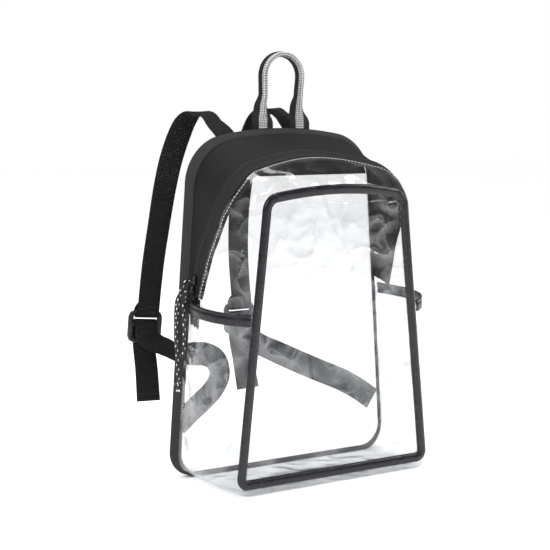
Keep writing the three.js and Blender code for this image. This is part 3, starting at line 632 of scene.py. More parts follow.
@dataclass(frozen=True)
class Row:
    """A row of stitches or zip teeth on a path, repeated by Geometry Nodes.

    Attributes:
        pitch: distance from one to the next, in millimetres.
        length: length of each.
        radius: half its thickness.
        lie: along the path, or across it.
    """

    pitch: float = 3.6
    length: float = 2.6
    radius: float = 0.4
    lie: Lie = Lie.ALONG

    @lru_cache(maxsize=None)
    def tree(self) -> bpy.types.NodeTree:
        """The node tree, with named inputs for its sizes."""
        tree = bpy.data.node_groups.new(f"row {self.lie.value} {self.pitch}", "GeometryNodeTree")
        sockets = tree.interface
        sockets.new_socket("Geometry", in_out="INPUT", socket_type="NodeSocketGeometry")
        for name in ("Pitch", "Length", "Radius"):
            sockets.new_socket(name, in_out="INPUT", socket_type="NodeSocketFloat")
        sockets.new_socket("Material", in_out="INPUT", socket_type="NodeSocketMaterial")
        sockets.new_socket("Geometry", in_out="OUTPUT", socket_type="NodeSocketGeometry")
        nodes = tree.nodes
        start, end = nodes.new("NodeGroupInput"), nodes.new("NodeGroupOutput")
        curve = nodes.new("GeometryNodeMeshToCurve")
        spaced = nodes.new("GeometryNodeResampleCurve")
        spaced.mode = "LENGTH"
        bar = nodes.new("GeometryNodeMeshUVSphere")
        bar.inputs["Segments"].default_value = 6
        bar.inputs["Rings"].default_value = 4
        scale = nodes.new("ShaderNodeCombineXYZ")
        scale.inputs["X"].default_value = scale.inputs["Y"].default_value = 1.0
        ratio = nodes.new("ShaderNodeMath")
        ratio.operation = "DIVIDE"
        if self.lie is Lie.ALONG:
            direction = nodes.new("GeometryNodeInputTangent").outputs[0]
        else:
            named = nodes.new("GeometryNodeInputNamedAttribute")
            named.data_type = "FLOAT_VECTOR"
            named.inputs["Name"].default_value = "across"
            direction = named.outputs["Attribute"]
        turn = nodes.new("FunctionNodeAlignRotationToVector")
        turn.axis = "Z"
        copies = nodes.new("GeometryNodeInstanceOnPoints")
        real = nodes.new("GeometryNodeRealizeInstances")
        finish = nodes.new("GeometryNodeSetMaterial")
        given = start.outputs
        for source, target in (
            (given["Geometry"], curve.inputs[0]),
            (curve.outputs[0], spaced.inputs["Curve"]),
            (given["Pitch"], spaced.inputs["Length"]),
            (given["Radius"], bar.inputs["Radius"]),
            (given["Length"], ratio.inputs[0]),
            (given["Radius"], ratio.inputs[1]),
            (ratio.outputs[0], scale.inputs["Z"]),
            (direction, turn.inputs["Vector"]),
            (spaced.outputs[0], copies.inputs["Points"]),
            (bar.outputs["Mesh"], copies.inputs["Instance"]),
            (turn.outputs[0], copies.inputs["Rotation"]),
            (scale.outputs[0], copies.inputs["Scale"]),
            (copies.outputs[0], real.inputs[0]),
            (real.outputs[0], finish.inputs["Geometry"]),
            (given["Material"], finish.inputs["Material"]),
            (finish.outputs[0], end.inputs[0]),
        ):
            tree.links.new(source, target)
        return tree

    def lay(self, name: str, paths: Rows, finish: Finish, across: Optional[Rows] = None) -> bpy.types.Object:
        """Lays the row along paths and turns it into a plain mesh.

        Args:
            name: the piece's name.
            paths: the paths' points in millimetres.
            finish: the thread or metal.
            across: a direction at each point, for bars that lie across.

        Returns:
            The dressed piece.
        """
        points = [p * MM for path in paths for p in path]
        edges, start = [], 0
        for path in paths:
            edges += [(start + i, start + i + 1) for i in range(len(path) - 1)]
            start += len(path)
        data = bpy.data.meshes.new(name)
        data.from_pydata(points, edges, [])
        if across is not None:
            attribute = data.attributes.new("across", "FLOAT_VECTOR", "POINT")
            for item, direction in zip(attribute.data, [d for row in across for d in row]):
                item.vector = direction
        piece = bpy.data.objects.new(name, data)
        bpy.context.scene.collection.objects.link(piece)
        modifier = piece.modifiers.new("row", "NODES")
        modifier.node_group = self.tree()
        values = {
            "Pitch": self.pitch * MM,
            "Length": self.length / 2 * MM,
            "Radius": self.radius * MM,
            "Material": finish.material(),
        }
        for item in self.tree().interface.items_tree:
            if item.in_out == "INPUT" and item.name in values:
                modifier[item.identifier] = values[item.name]
        graph = bpy.context.evaluated_depsgraph_get()
        mesh = bpy.data.meshes.new_from_object(piece.evaluated_get(graph), depsgraph=graph)
        piece.modifiers.remove(modifier)
        piece.data = mesh
        mesh.shade_smooth()
        return dress(piece, finish)


FINE_STITCH = Row(3.0, 2.0, 0.28)


@dataclass(frozen=True)
class Outline:
    """Sizes of a rounded outline, in millimetres."""

    half_base: float
    half_shoulder: float
    top: float
    floor: float
    top_corner: float
    base_corner: float

    def inset(self, margin: float) -> "Outline":
        """The same outline drawn in by an even margin."""
        return Outline(
            self.half_base - margin,
            self.half_shoulder - margin,
            self.top - margin,
            self.floor + margin,
            max(self.top_corner - margin, 1),
            max(self.base_corner - margin, 1),
        )


def smooth_lookup(rows: Sequence[Sequence[float]], column: int, at: float) -> float:
    """Value of a column on a smooth curve through rows whose first column is the key.

    Args:
        rows: the table.
        column: the column to read.
        at: the key.

    Returns:
        The value there.
    """
    last = len(rows) - 1
    at = min(max(at, rows[0][0]), rows[last][0])
    i = 0
    while i < last - 1 and at > rows[i + 1][0]:
        i += 1

    def slope(n: int) -> float:
        """Slope at a row."""
        here, before, after = rows[n], rows[max(n - 1, 0)], rows[min(n + 1, last)]
        behind = (here[column] - before[column]) / ((here[0] - before[0]) or 1)
        ahead = (after[column] - here[column]) / ((after[0] - here[0]) or 1)
        if n == 0:
            return ahead
        if n == last:
            return behind
        return 0.0 if behind * ahead <= 0 else 2 * behind * ahead / (behind + ahead)

    span = rows[i + 1][0] - rows[i][0]
    t = (at - rows[i][0]) / span
    rise = rows[i + 1][column] - rows[i][column]
    start, end = slope(i) * span, slope(i + 1) * span
    bend = start + end - 2 * rise
    return rows[i][column] + start * t + (rise - start - bend) * t * t + bend * t**3


def steps(start: float, end: float, count: int) -> list[float]:
    """Even steps between two values, both ends included."""
    return [start + (end - start) * i / count for i in range(count + 1)]


def mix(a: float, b: float, t: float) -> float:
    """A value between two values."""
    return a + (b - a) * t


def crumple(point: Vector, size: float, seed: float = 0.0) -> float:
    """Ridged noise from -1 to 1 at a point, for soft folds.

    Args:
        point: the place in millimetres.
        size: how wide the folds are.
        seed: moves the pattern.

    Returns:
        The height of the folds there.
    """
    where = point / size + Vector((seed, seed * 1.7, seed * 0.3))
    broad = noise.noise(where)
    crease = 1.0 - 2.0 * abs(noise.noise(where * 2.1 + Vector((5.2, 1.3, 9.7))))
    return 0.6 * broad + 0.4 * crease * abs(broad) * 2.0


class Section(NamedTuple):
    """Shares of the back's sizes that draw the body's outline at a share of its depth."""

    depth_share: float
    base: float
    shoulder: float
    top: float
    top_corner: float
    base_corner: float
    toe: float
    lift: float


@dataclass(frozen=True)
class BodyForm:
    """The pack's body, as the CAD source draws it: sizes in millimetres and tables of shares."""

    height: float = 364.0
    base_width: float = 276.0
    shoulder_width: float = 237.0
    depth: float = 104.0
    top_corner: float = 54.0
    base_corner: float = 27.0
    crown_slope: float = math.radians(10.0)
    toe_reach: float = 8.0
    front_lift: float = 6.0
    film: float = 1.2
    cloth: float = 1.6
    gap: float = 0.3
    binding_depth: float = 10.0
    binding_thickness: float = 3.2
    panel_recess: float = 6.0
    yoke_height: float = 51.0
    zip_width: float = 19.0
    coil_rise: float = 1.4
    side_pocket_height: float = 187.0
    zip_over_pocket: float = 8.5
    base_end: float = 0.12
    base_corner_end: float = 0.24
    side_end: float = 0.66
    top_corner_end: float = 0.84
    near: float = 0.003
    sections: tuple[Section, ...] = (
        Section(0.0, 0.975, 0.97, 1.0, 1.0, 1.0, 0, 0),
        Section(0.1, 0.957, 0.952, 0.983, 0.98, 1.0, 0, 0),
        Section(0.42, 0.966, 0.962, 0.937, 0.92, 0.98, 0, 0),
        Section(0.6, 0.964, 0.958, 0.919, 0.88, 0.95, 0, 0),
        Section(0.73, 0.955, 0.945, 0.903, 0.82, 0.9, 0.1, 0),
        Section(0.86, 0.928, 0.895, 0.882, 0.72, 0.8, 0.4, 0),
        Section(0.94, 0.893, 0.832, 0.86, 0.6, 0.66, 0.75, 0),
        Section(0.98, 0.868, 0.787, 0.843, 0.5, 0.54, 0.95, 0.25),
        Section(1.0, 0.852, 0.752, 0.828, 0.42, 0.46, 0, 1),
    )
    # share of the way from the zip's end to the crown's middle, and share of the depth
    zip_line: Table = (
        (0.0, 0.2), (0.08, 0.276), (0.16, 0.35), (0.23, 0.447), (0.29, 0.52),
        (0.36, 0.6), (0.5, 0.648), (0.68, 0.59), (1.0, 0.486), (1.32, 0.59),
    )  # fmt: skip

    @property
    def back_y(self) -> float:
        """Where the back's edge lies."""
        return self.depth / 2

    @property
    def front_y(self) -> float:
        """Where the front panel lies."""
        return -self.depth / 2

    @property
    def binding_share(self) -> float:
        """The binding's share of the depth."""
        return self.binding_depth / self.depth

    @property
    def gap_share(self) -> float:
        """The gap's share of the depth."""
        return self.gap / self.depth

    @property
    def yoke_floor(self) -> float:
        """Height of the yoke's lower edge."""
        return self.height - self.yoke_height

    @property
    def panel_y(self) -> float:
        """Where the back panel's outer face lies."""
        return self.back_y - self.panel_recess

    def back_outline(self) -> Outline:
        """The back's edge."""
        half = self.base_width / 2, self.shoulder_width / 2
        return Outline(*half, self.height, 0.0, self.top_corner, self.base_corner)

    @lru_cache(maxsize=None)
    def column(self, name: str, depth_share: float) -> float:
        """A column of the section table."""
        return smooth_lookup(self.sections, Section._fields.index(name), depth_share)

    @lru_cache(maxsize=None)
    def section(self, depth_share: float) -> Outline:
        """The body's outline at a share of its depth."""
        share = Section(*(self.column(name, depth_share) for name in Section._fields))
        return Outline(
            self.base_width / 2 * share.base,
            self.shoulder_width / 2 * share.shoulder,
            self.height * share.top,
            self.front_lift * share.lift,
            self.top_corner * share.top_corner,
            self.base_corner * share.base_corner,
        )

    def on_outline(self, shape: Outline, u: float) -> tuple[float, float]:
        """A point of an outline: u runs from the middle of the base (0) to the middle of the crown (1).

        Args:
            shape: the outline.
            u: the place on its half.

        Returns:
            Its distance across and its height.
        """
        slope = self.crown_slope
        crown_half = shape.half_shoulder - shape.top_corner * (1 - math.sin(slope))
        crown_rise = crown_half * math.tan(slope) / 2
        side_head = shape.top - crown_rise - shape.top_corner * math.cos(slope)
        flat_half = shape.half_base - shape.base_corner
        if u <= self.base_end:
            return flat_half * u / self.base_end, shape.floor
        if u <= self.base_corner_end:
            turn = (u - self.base_end) / (self.base_corner_end - self.base_end) * math.pi / 2
            x = flat_half + shape.base_corner * math.sin(turn)
            return x, shape.floor + shape.base_corner * (1 - math.cos(turn))
        if u <= self.side_end:
            t = (u - self.base_corner_end) / (self.side_end - self.base_corner_end)
            foot = shape.floor + shape.base_corner
            return mix(shape.half_base, shape.half_shoulder, t), mix(foot, side_head, t)
        if u <= self.top_corner_end:
            turn = (u - self.side_end) / (self.top_corner_end - self.side_end) * (math.pi / 2 - slope)
            x = shape.half_shoulder - shape.top_corner * (1 - math.cos(turn))
            return x, side_head + shape.top_corner * math.sin(turn)
        t = (u - self.top_corner_end) / (1 - self.top_corner_end)
        return crown_half * (1 - t), shape.top - crown_rise * (1 - t) ** 2

    @lru_cache(maxsize=None)
    def bare(self, side: int, u: float, depth_share: float) -> Vector:
        """A point on the body's outer surface."""
        x, z = self.on_outline(self.section(depth_share), u)
        t = min(max((u - self.base_end) / (self.base_corner_end - self.base_end), 0), 1)
        toe = self.toe_reach * self.column("toe", depth_share) * (1 + math.cos(math.pi * t)) / 2
        return Vector((side * x, self.back_y - depth_share * self.depth - toe, z))

    def point(self, side: int, u: float, depth_share: float, rise: float = 0.0) -> Vector:
        """A point on the body, raised along the outward normal.

        Args:
            side: -1 for the left and 1 for the right.
            u: the place on the half outline.
            depth_share: 0 at the back and 1 at the front.
            rise: how far above the surface.

        Returns:
            The point in millimetres.
        """
        here = self.bare(side, u, depth_share)
        if rise == 0:
            return here.copy()
        lower, higher = max(u - self.near, 0), min(u + self.near, 1)
        along = self.bare(side, higher, depth_share) - self.bare(side, lower, depth_share)
        nearer, farther = max(depth_share - self.near, 0), min(depth_share + self.near, 1)
        forward = self.bare(side, u, farther) - self.bare(side, u, nearer)
        normal = along.cross(forward) * side
        if u in (0, 1):
            normal.x = 0
        return here + normal.normalized() * rise

    @cached_property
    def zip_start(self) -> float:
        """Where the zip starts on the half outline, a little above the side pockets."""
        return self.side_u(self.side_pocket_height + self.zip_over_pocket, self.zip_line[0][1])

    def zip_middle(self, u: float) -> float:
        """The zip's middle line as a share of the depth."""
        return smooth_lookup(self.zip_line, 1, (u - self.zip_start) / (1 - self.zip_start))

    def zip_half(self) -> float:
        """Half the zip's width as a share of the depth."""
        return self.zip_width / 2 / self.depth

    def side_u(self, height: float, depth_share: float) -> float:
        """Place on the half outline of a height on the side."""
        shape = self.section(depth_share)
        foot = self.on_outline(shape, self.base_corner_end)[1]
        head = self.on_outline(shape, self.side_end)[1]
        return mix(self.base_corner_end, self.side_end, (height - foot) / (head - foot))

    def places(self, start: float, end: float, fine: int = 3) -> list[float]:
        """Places along the half outline with enough steps on each corner.

        Args:
            start: the first place.
            end: the last place.
            fine: how many steps stand for each of the CAD's.

        Returns:
            The places in order.
        """
        ends = self.base_end, self.base_corner_end, self.side_end, self.top_corner_end, 1.0
        found, low = [start], 0.0
        for high, count in zip(ends, (2, 5, 9, 7, 4)):
            inner = steps(low, high, count * fine)[1:]
            found += [u for u in inner if start + self.near < u < end - self.near]
            low = high
        return [*found, end]

    def over_top(self, start: float) -> list[tuple[int, float]]:
        """Places over the top from the right side to the left."""
        half = self.places(start, 1.0)
        return [(1, u) for u in half] + [(-1, u) for u in half[-2::-1]]

    def under_base(self, end: float) -> list[tuple[int, float]]:
        """Places round the base from the left side to the right."""
        half = self.places(0.0, end)
        return [(-1, u) for u in half[:0:-1]] + [(1, u) for u in half]

    def all_round(self, *extra: float) -> list[tuple[int, float]]:
        """Places all the way round."""
        half = sorted([*self.places(0.0, 1.0), *extra])
        return [(1, u) for u in half] + [(-1, u) for u in half[-2:0:-1]]

    def panel_point(self, u: float) -> tuple[float, float]:
        """A point of the back panel's edge, inside the binding."""
        margin = self.binding_thickness + self.gap * 2
        root = self.point(1, u, self.binding_share, -margin)
        tip = self.on_outline(self.back_outline().inset(margin), u)
        behind_share = (self.panel_y - self.cloth - (self.back_y - self.binding_depth)) / self.binding_depth
        return mix(root.x, tip[0], behind_share), mix(root.z, tip[1], behind_share)

    def half_width(self, point_at: Callable[[float], tuple[float, float]], height: float) -> float:
        """Half width of an outline's side at a height."""
        low, high = self.base_end, 1.0
        for _ in range(30):
            middle = (low + high) / 2
            if point_at(middle)[1] < height:
                low = middle
            else:
                high = middle
        return point_at(low)[0]


def flat_rows(edge: Sequence[tuple[float, float]], place: Place, count: int) -> Rows:
    """Level rows across a shape with mirrored sides.

    Args:
        edge: half widths and heights, from the foot up.
        place: gives the point for x, z and the share of the half width.
        count: points on each side of the middle.

    Returns:
        The rows.
    """
    shares = steps(-1, 1, count * 2)
    return [[place(s * x, z, s) for s in shares] for x, z in edge]


@dataclass
class Back:
    """Back panel, yoke and the ribbed binding round them."""

    form: BodyForm
    wave: float = 0.9
    yoke_wave: float = 0.7
    still_edge: float = 25.0
    fold_size: float = 48.0
    wall: float = 0.6
    yoke_wall: float = 1.2
    crown: float = 0.9
    rim_crown: float = 0.5
    across_steps: int = 22
    stitch_share: float = 0.86
    stitch_rise: float = 0.62
    hem_rises: tuple[float, float] = (3.0, 8.0)

    def surface(self, y: float, wave: float, seed: float) -> Place:
        """A gently waved upright surface."""

        def place(x: float, z: float, share: float) -> Vector:
            """The point there."""
            below, above = z / self.still_edge, max(self.form.height - z, 0.0) / self.still_edge
            hold = (1 - share**4) * min(below, 1.0) * min(above, 1.0)
            fold = 0.5 - 0.5 * crumple(Vector((x, 0, z)), self.fold_size, seed)
            return Vector((x, y - wave * fold * hold, z))

        return place

    def panel(self) -> bpy.types.Object:
        """Clear film of the lower back."""
        form, head = self.form, self.form.yoke_floor - self.form.gap
        places = [u for u in form.places(form.base_end, 0.98) if form.panel_point(u)[1] < head - 1]
        edge = [form.panel_point(u) for u in places] + [(form.half_width(form.panel_point, head), head)]
        rows = flat_rows(edge, self.surface(form.panel_y, self.wave, 3.0), self.across_steps)
        piece = Skin("back_panel_film", rows, core=Vector((0, -FAR, 0))).build()
        return dress(walled(piece, self.wall), PANEL_FILM, "back_panel")

    def yoke(self) -> bpy.types.Object:
        """Black cloth at the top of the back."""
        form, floor = self.form, self.form.yoke_floor
        places = [u for u in form.places(form.base_end, 0.985, 4) if form.panel_point(u)[1] > floor + 1]
        edge = [(form.half_width(form.panel_point, floor), floor)] + [form.panel_point(u) for u in places]
        rows = flat_rows(edge, self.surface(form.panel_y, self.yoke_wave, 8.0), self.across_steps + 2)
        piece = Skin("back_yoke_cloth", rows, core=Vector((0, -FAR, 0))).build()
        return dress(walled(piece, self.yoke_wall), CLOTH, "back_yoke")

    def binding(self) -> bpy.types.Object:
        """Ribbed tape folded over the seam, with a rounded outer face."""
        form = self.form
        outline = form.back_outline()
        inner = outline.inset(form.binding_thickness)
        rows = []
        for side, u in form.all_round():
            tip, tip_in = form.on_outline(outline, u), form.on_outline(inner, u)
            root = form.point(side, u, form.binding_share)
            root_in = form.point(side, u, form.binding_share, -form.binding_thickness)
            root_in.y = root.y
            back = Vector((side * tip[0], form.back_y, tip[1]))
            back_in = Vector((side * tip_in[0], form.back_y, tip_in[1]))
            out = (root - root_in).normalized()
            low = 1.0 if u > form.base_corner_end else 0.0
            outer = [
                root.lerp(back, t) + out * (self.crown * math.sin(math.pi * t) * low)
                for t in (0.0, 0.08, 0.22, 0.4, 0.6, 0.78, 0.92)
            ]
            rim = [
                back.lerp(back_in, t) + Vector((0, self.rim_crown * math.sin(math.pi * t), 0))
                for t in (0.15, 0.5, 0.85)
            ]
            within = [back_in.lerp(root_in, t) for t in (0.1, 0.5, 1.0)]
            rows.append(outer + rim + within)
        piece = Skin("back_binding_tape", rows, ring=True, tube=True).build()
        return dress(piece, BINDING, "back_binding")

    def seams(self) -> list[bpy.types.Object]:
        """Stitches along the binding and the yoke's lower edge."""
        form = self.form
        share = form.binding_share * self.stitch_share
        path = [form.point(side, u, share, self.stitch_rise) for side, u in form.all_round()]
        y = form.panel_y + 0.25
        half = form.half_width(form.panel_point, form.yoke_floor + 4) - 3
        across = steps(-half, half, 60)
        hems = [[Vector((x, y, form.yoke_floor + rise)) for x in across] for rise in self.hem_rises]
        return [
            FINE_STITCH.lay("binding_stitches", [path + path[:1]], DARK_THREAD),
            FINE_STITCH.lay("yoke_stitches", hems, DARK_THREAD),
        ]

    def dress_up(self) -> None:
        """Builds and dresses the back."""
        self.panel()
        self.yoke()
        self.binding()
        self.seams()


@dataclass
class TopAndZip:
    """Black cloth wedge and the zip in front of it."""

    form: BodyForm
    sag: float = 0.7
    fold_size: float = 34.0
    sink: float = 0.01
    ahead: float = 0.02
    cloth_wall: float = 1.0
    tape_wall: float = 1.2
    teeth_rise: float = 1.15
    tooth: Row = Row(1.9, 4.8, 0.55, Lie.ACROSS)
    tape_profile: Table = (
        (-1.0, 0.0), (-0.93, 0.35), (-0.86, 0.5), (-0.79, 0.35), (-0.74, 0.05), (-0.62, 0.05),
        (-0.56, 0.3), (-0.5, 0.05), (-0.36, 0.1), (-0.3, 0.9), (-0.2, 1.0), (-0.04, 1.05), (0.0, 0.75),
        (0.04, 1.05), (0.2, 1.0), (0.3, 0.9), (0.36, 0.1), (0.5, 0.05), (0.56, 0.3), (0.62, 0.05),
        (0.74, 0.05), (0.79, 0.35), (0.86, 0.5), (0.93, 0.35), (1.0, 0.0),
    )  # fmt: skip

    def gusset(self) -> bpy.types.Object:
        """Cloth between the binding and the zip."""
        form = self.form
        rows = []
        for side, u in form.over_top(form.zip_start):
            start = form.binding_share + form.gap_share
            end = form.zip_middle(u) - form.zip_half() - form.gap_share
            row = []
            for t in steps(0, 1, 12):
                depth_share = mix(start, end, t)
                fold = crumple(form.point(side, u, depth_share), self.fold_size, 1.0) - 0.5
                rise = fold * self.sag * math.sin(math.pi * t) - self.sink
                row.append(form.point(side, u, depth_share, rise))
            rows.append(row)
        piece = Skin("top_gusset_cloth", rows).build()
        return dress(walled(piece, self.cloth_wall), CLOTH, "top_gusset")

    def tape(self) -> bpy.types.Object:
        """Zip tapes with their ribs and the coil's bed."""
        form, half = self.form, self.form.zip_half()
        rows = [
            [form.point(s, u, form.zip_middle(u) + t * half, up + self.sink) for t, up in self.tape_profile]
            for s, u in form.over_top(form.zip_start)
        ]
        piece = Skin("main_zip_tape", rows).build()
        return dress(walled(piece, self.tape_wall), ZIP_TAPE, "main_zip")

    def teeth(self) -> bpy.types.Object:
        """The coil's teeth."""
        form = self.form
        places = form.over_top(form.zip_start)
        path = [form.point(side, u, form.zip_middle(u), self.teeth_rise) for side, u in places]
        ahead = [form.point(s, u, form.zip_middle(u) + self.ahead, self.teeth_rise) for s, u in places]
        across = [(b - a).normalized() for a, b in zip(path, ahead)]
        return self.tooth.lay("main_zip_teeth", [path], PLASTIC, [across])

    def seams(self) -> list[bpy.types.Object]:
        """Stitches on the cloth edge of the zip."""
        form = self.form
        places = form.over_top(form.zip_start)
        behind = form.zip_half() + self.ahead
        path = [form.point(side, u, form.zip_middle(u) - behind, 0.1) for side, u in places]
        return [FINE_STITCH.lay("gusset_stitches", [path], DARK_THREAD)]

    def dress_up(self) -> None:
        """Builds and dresses the top and the zip."""
        self.gusset()
        self.tape()
        self.teeth()
        self.seams()


@dataclass
class ClearShell:
    """Clear film round the sides, base and top, its front panel and its seams."""

    form: BodyForm
    wall: float = 0.6
    folds: float = 1.3
    fold_size: float = 42.0
    front_fold_size: float = 50.0
    still_edge: float = 20.0
    below_zip: float = 0.016
    front_set_in: float = 0.35
    front_steps: int = 24
    allowance_wall: float = 0.6
    allowance: float = 7.0
    welt: float = 1.1
    welt_set_in: float = 0.4
    welt_sides: int = 8
    stitch: Row = Row(3.9, 2.7, 0.42)
    stitch_margin: float = 3.6

    def start(self, u: float) -> float:
        """Where the film begins behind, as a share of the depth."""
        form = self.form
        if u <= form.zip_start - self.below_zip:
            return form.binding_share + form.gap_share
        return form.zip_middle(max(u, form.zip_start)) + form.zip_half() + form.gap_share

    def gusset(self) -> bpy.types.Object:
        """Film of the sides, base and top."""
        form = self.form
        rows = []
        for side, u in form.all_round(form.zip_start - self.below_zip, form.zip_start):
            start = self.start(u)
            row = []
            for t in [*steps(0, 0.76, 13), *steps(0.8, 1, 11)]:
                depth_share = mix(start, 1, t)
                rest = form.bare(side, u, depth_share)
                hold = math.sin(math.pi * min(t * 1.02, 1)) ** 0.7 if 0 < t < 0.98 else 0.0
                hold *= min(u / form.base_corner_end, 1.0) ** 2
                rise = -0.5 * self.folds * (1 - crumple(rest, self.fold_size, 2.0)) * hold
                row.append(form.point(side, u, depth_share, rise - 0.005))
            rows.append(row)
        piece = Skin("clear_gusset_film", rows, ring=True).build()
        return dress(walled(piece, self.wall), FILM, "clear_gusset")

    def front(self) -> bpy.types.Object:
        """Film behind the front pocket."""
        form = self.form
        shape = form.section(1.0).inset(form.film + form.gap)
        edge = [form.on_outline(shape, u) for u in form.places(form.base_end, 0.99, 4)]

        def place(x: float, z: float, share: float) -> Vector:
            """The point there."""
            below = max(z - shape.floor, 0) / self.still_edge
            above = max(shape.top - z, 0.0) / self.still_edge
            hold = (1 - share**6) * min(below, 1.0) * min(above, 1.0)
            fold = 0.5 + 0.5 * crumple(Vector((x, 9, z)), self.front_fold_size, 6.0)
            return Vector((x, form.front_y + self.front_set_in + fold * hold, z))

        rows = flat_rows(edge, place, self.front_steps)
        piece = Skin("front_panel_film", rows, core=Vector((0, FAR, 0))).build()
        return dress(walled(piece, self.wall), FILM, "front_panel")

    def front_welt(self) -> bpy.types.Object:
        """Clear welt on the seam between the front panel and the gusset."""
        form = self.form
        shape = form.section(1.0)
        turns = [2 * math.pi * k / self.welt_sides for k in range(self.welt_sides)]
        rows = []
        for side, u in form.all_round():
            x, z = form.on_outline(shape, u)
            near_x, near_z = form.on_outline(shape.inset(4), u)
            out = Vector((side * (x - near_x), 0, z - near_z)).normalized()
            middle = Vector((side * x, form.front_y + self.welt_set_in, z)) - out * self.welt_set_in
            ring = [out * math.cos(a) + Vector((0, math.sin(a), 0)) for a in turns]
            rows.append([middle + spoke * self.welt for spoke in ring])
        return dress(Skin("front_seam_welt", rows, ring=True, tube=True).build(), FILM)

    def seam_allowance(self) -> bpy.types.Object:
        """Dark hem of the zip tape that shows through the film."""
        form = self.form
        inside = -(self.wall + 0.5)
        reach = self.allowance / form.depth
        rows = []
        for side, u in form.over_top(form.zip_start):
            begin = self.start(u)
            rows.append([form.point(side, u, begin + t * reach, inside) for t in steps(-0.1, 1, 5)])
        piece = Skin("zip_seam_allowance", rows).build()
        return dress(walled(piece, self.allowance_wall), ZIP_TAPE)

    def stitches(self) -> bpy.types.Object:
        """Pale stitches on the film beside the zip."""
        form = self.form
        margin = self.stitch_margin / form.depth
        places = form.over_top(form.zip_start)
        path = [form.point(side, u, self.start(u) + margin, 0.3) for side, u in places]
        return self.stitch.lay("zip_edge_stitches", [path], PALE_THREAD)

    def dress_up(self) -> None:
        """Builds and dresses the clear shell."""
        self.gusset()
        self.front()
        self.front_welt()
        self.seam_allowance()
        self.stitches()


def strip_row(edge: Vector, hem: Vector, thickness: float, soft: float) -> list[Vector]:
    """Section of a folded tape from its edge to its hem: flat behind and crowned in front.

    Args:
        edge: the outer edge on the back face.
        hem: the inner edge on the back face.
        thickness: how far it stands forward (towards -Y).
        soft: an uneven lift of the crown.

    Returns:
        A closed row of points.
    """
    profile = (
        (0.0, 0.0), (-0.02, 0.35), (0.03, 0.72), (0.16, 0.95), (0.34, 1.05), (0.55, 1.02),
        (0.76, 0.92), (0.9, 0.7), (0.985, 0.4), (1.0, 0.0),
    )  # fmt: skip
    front = []
    for t, height in profile:
        forward = thickness * height + soft * height * math.sin(math.pi * t)
        front.append(edge.lerp(hem, t) - Vector((0, forward, 0)))
    return front + [edge.lerp(hem, 0.66), edge.lerp(hem, 0.33)]


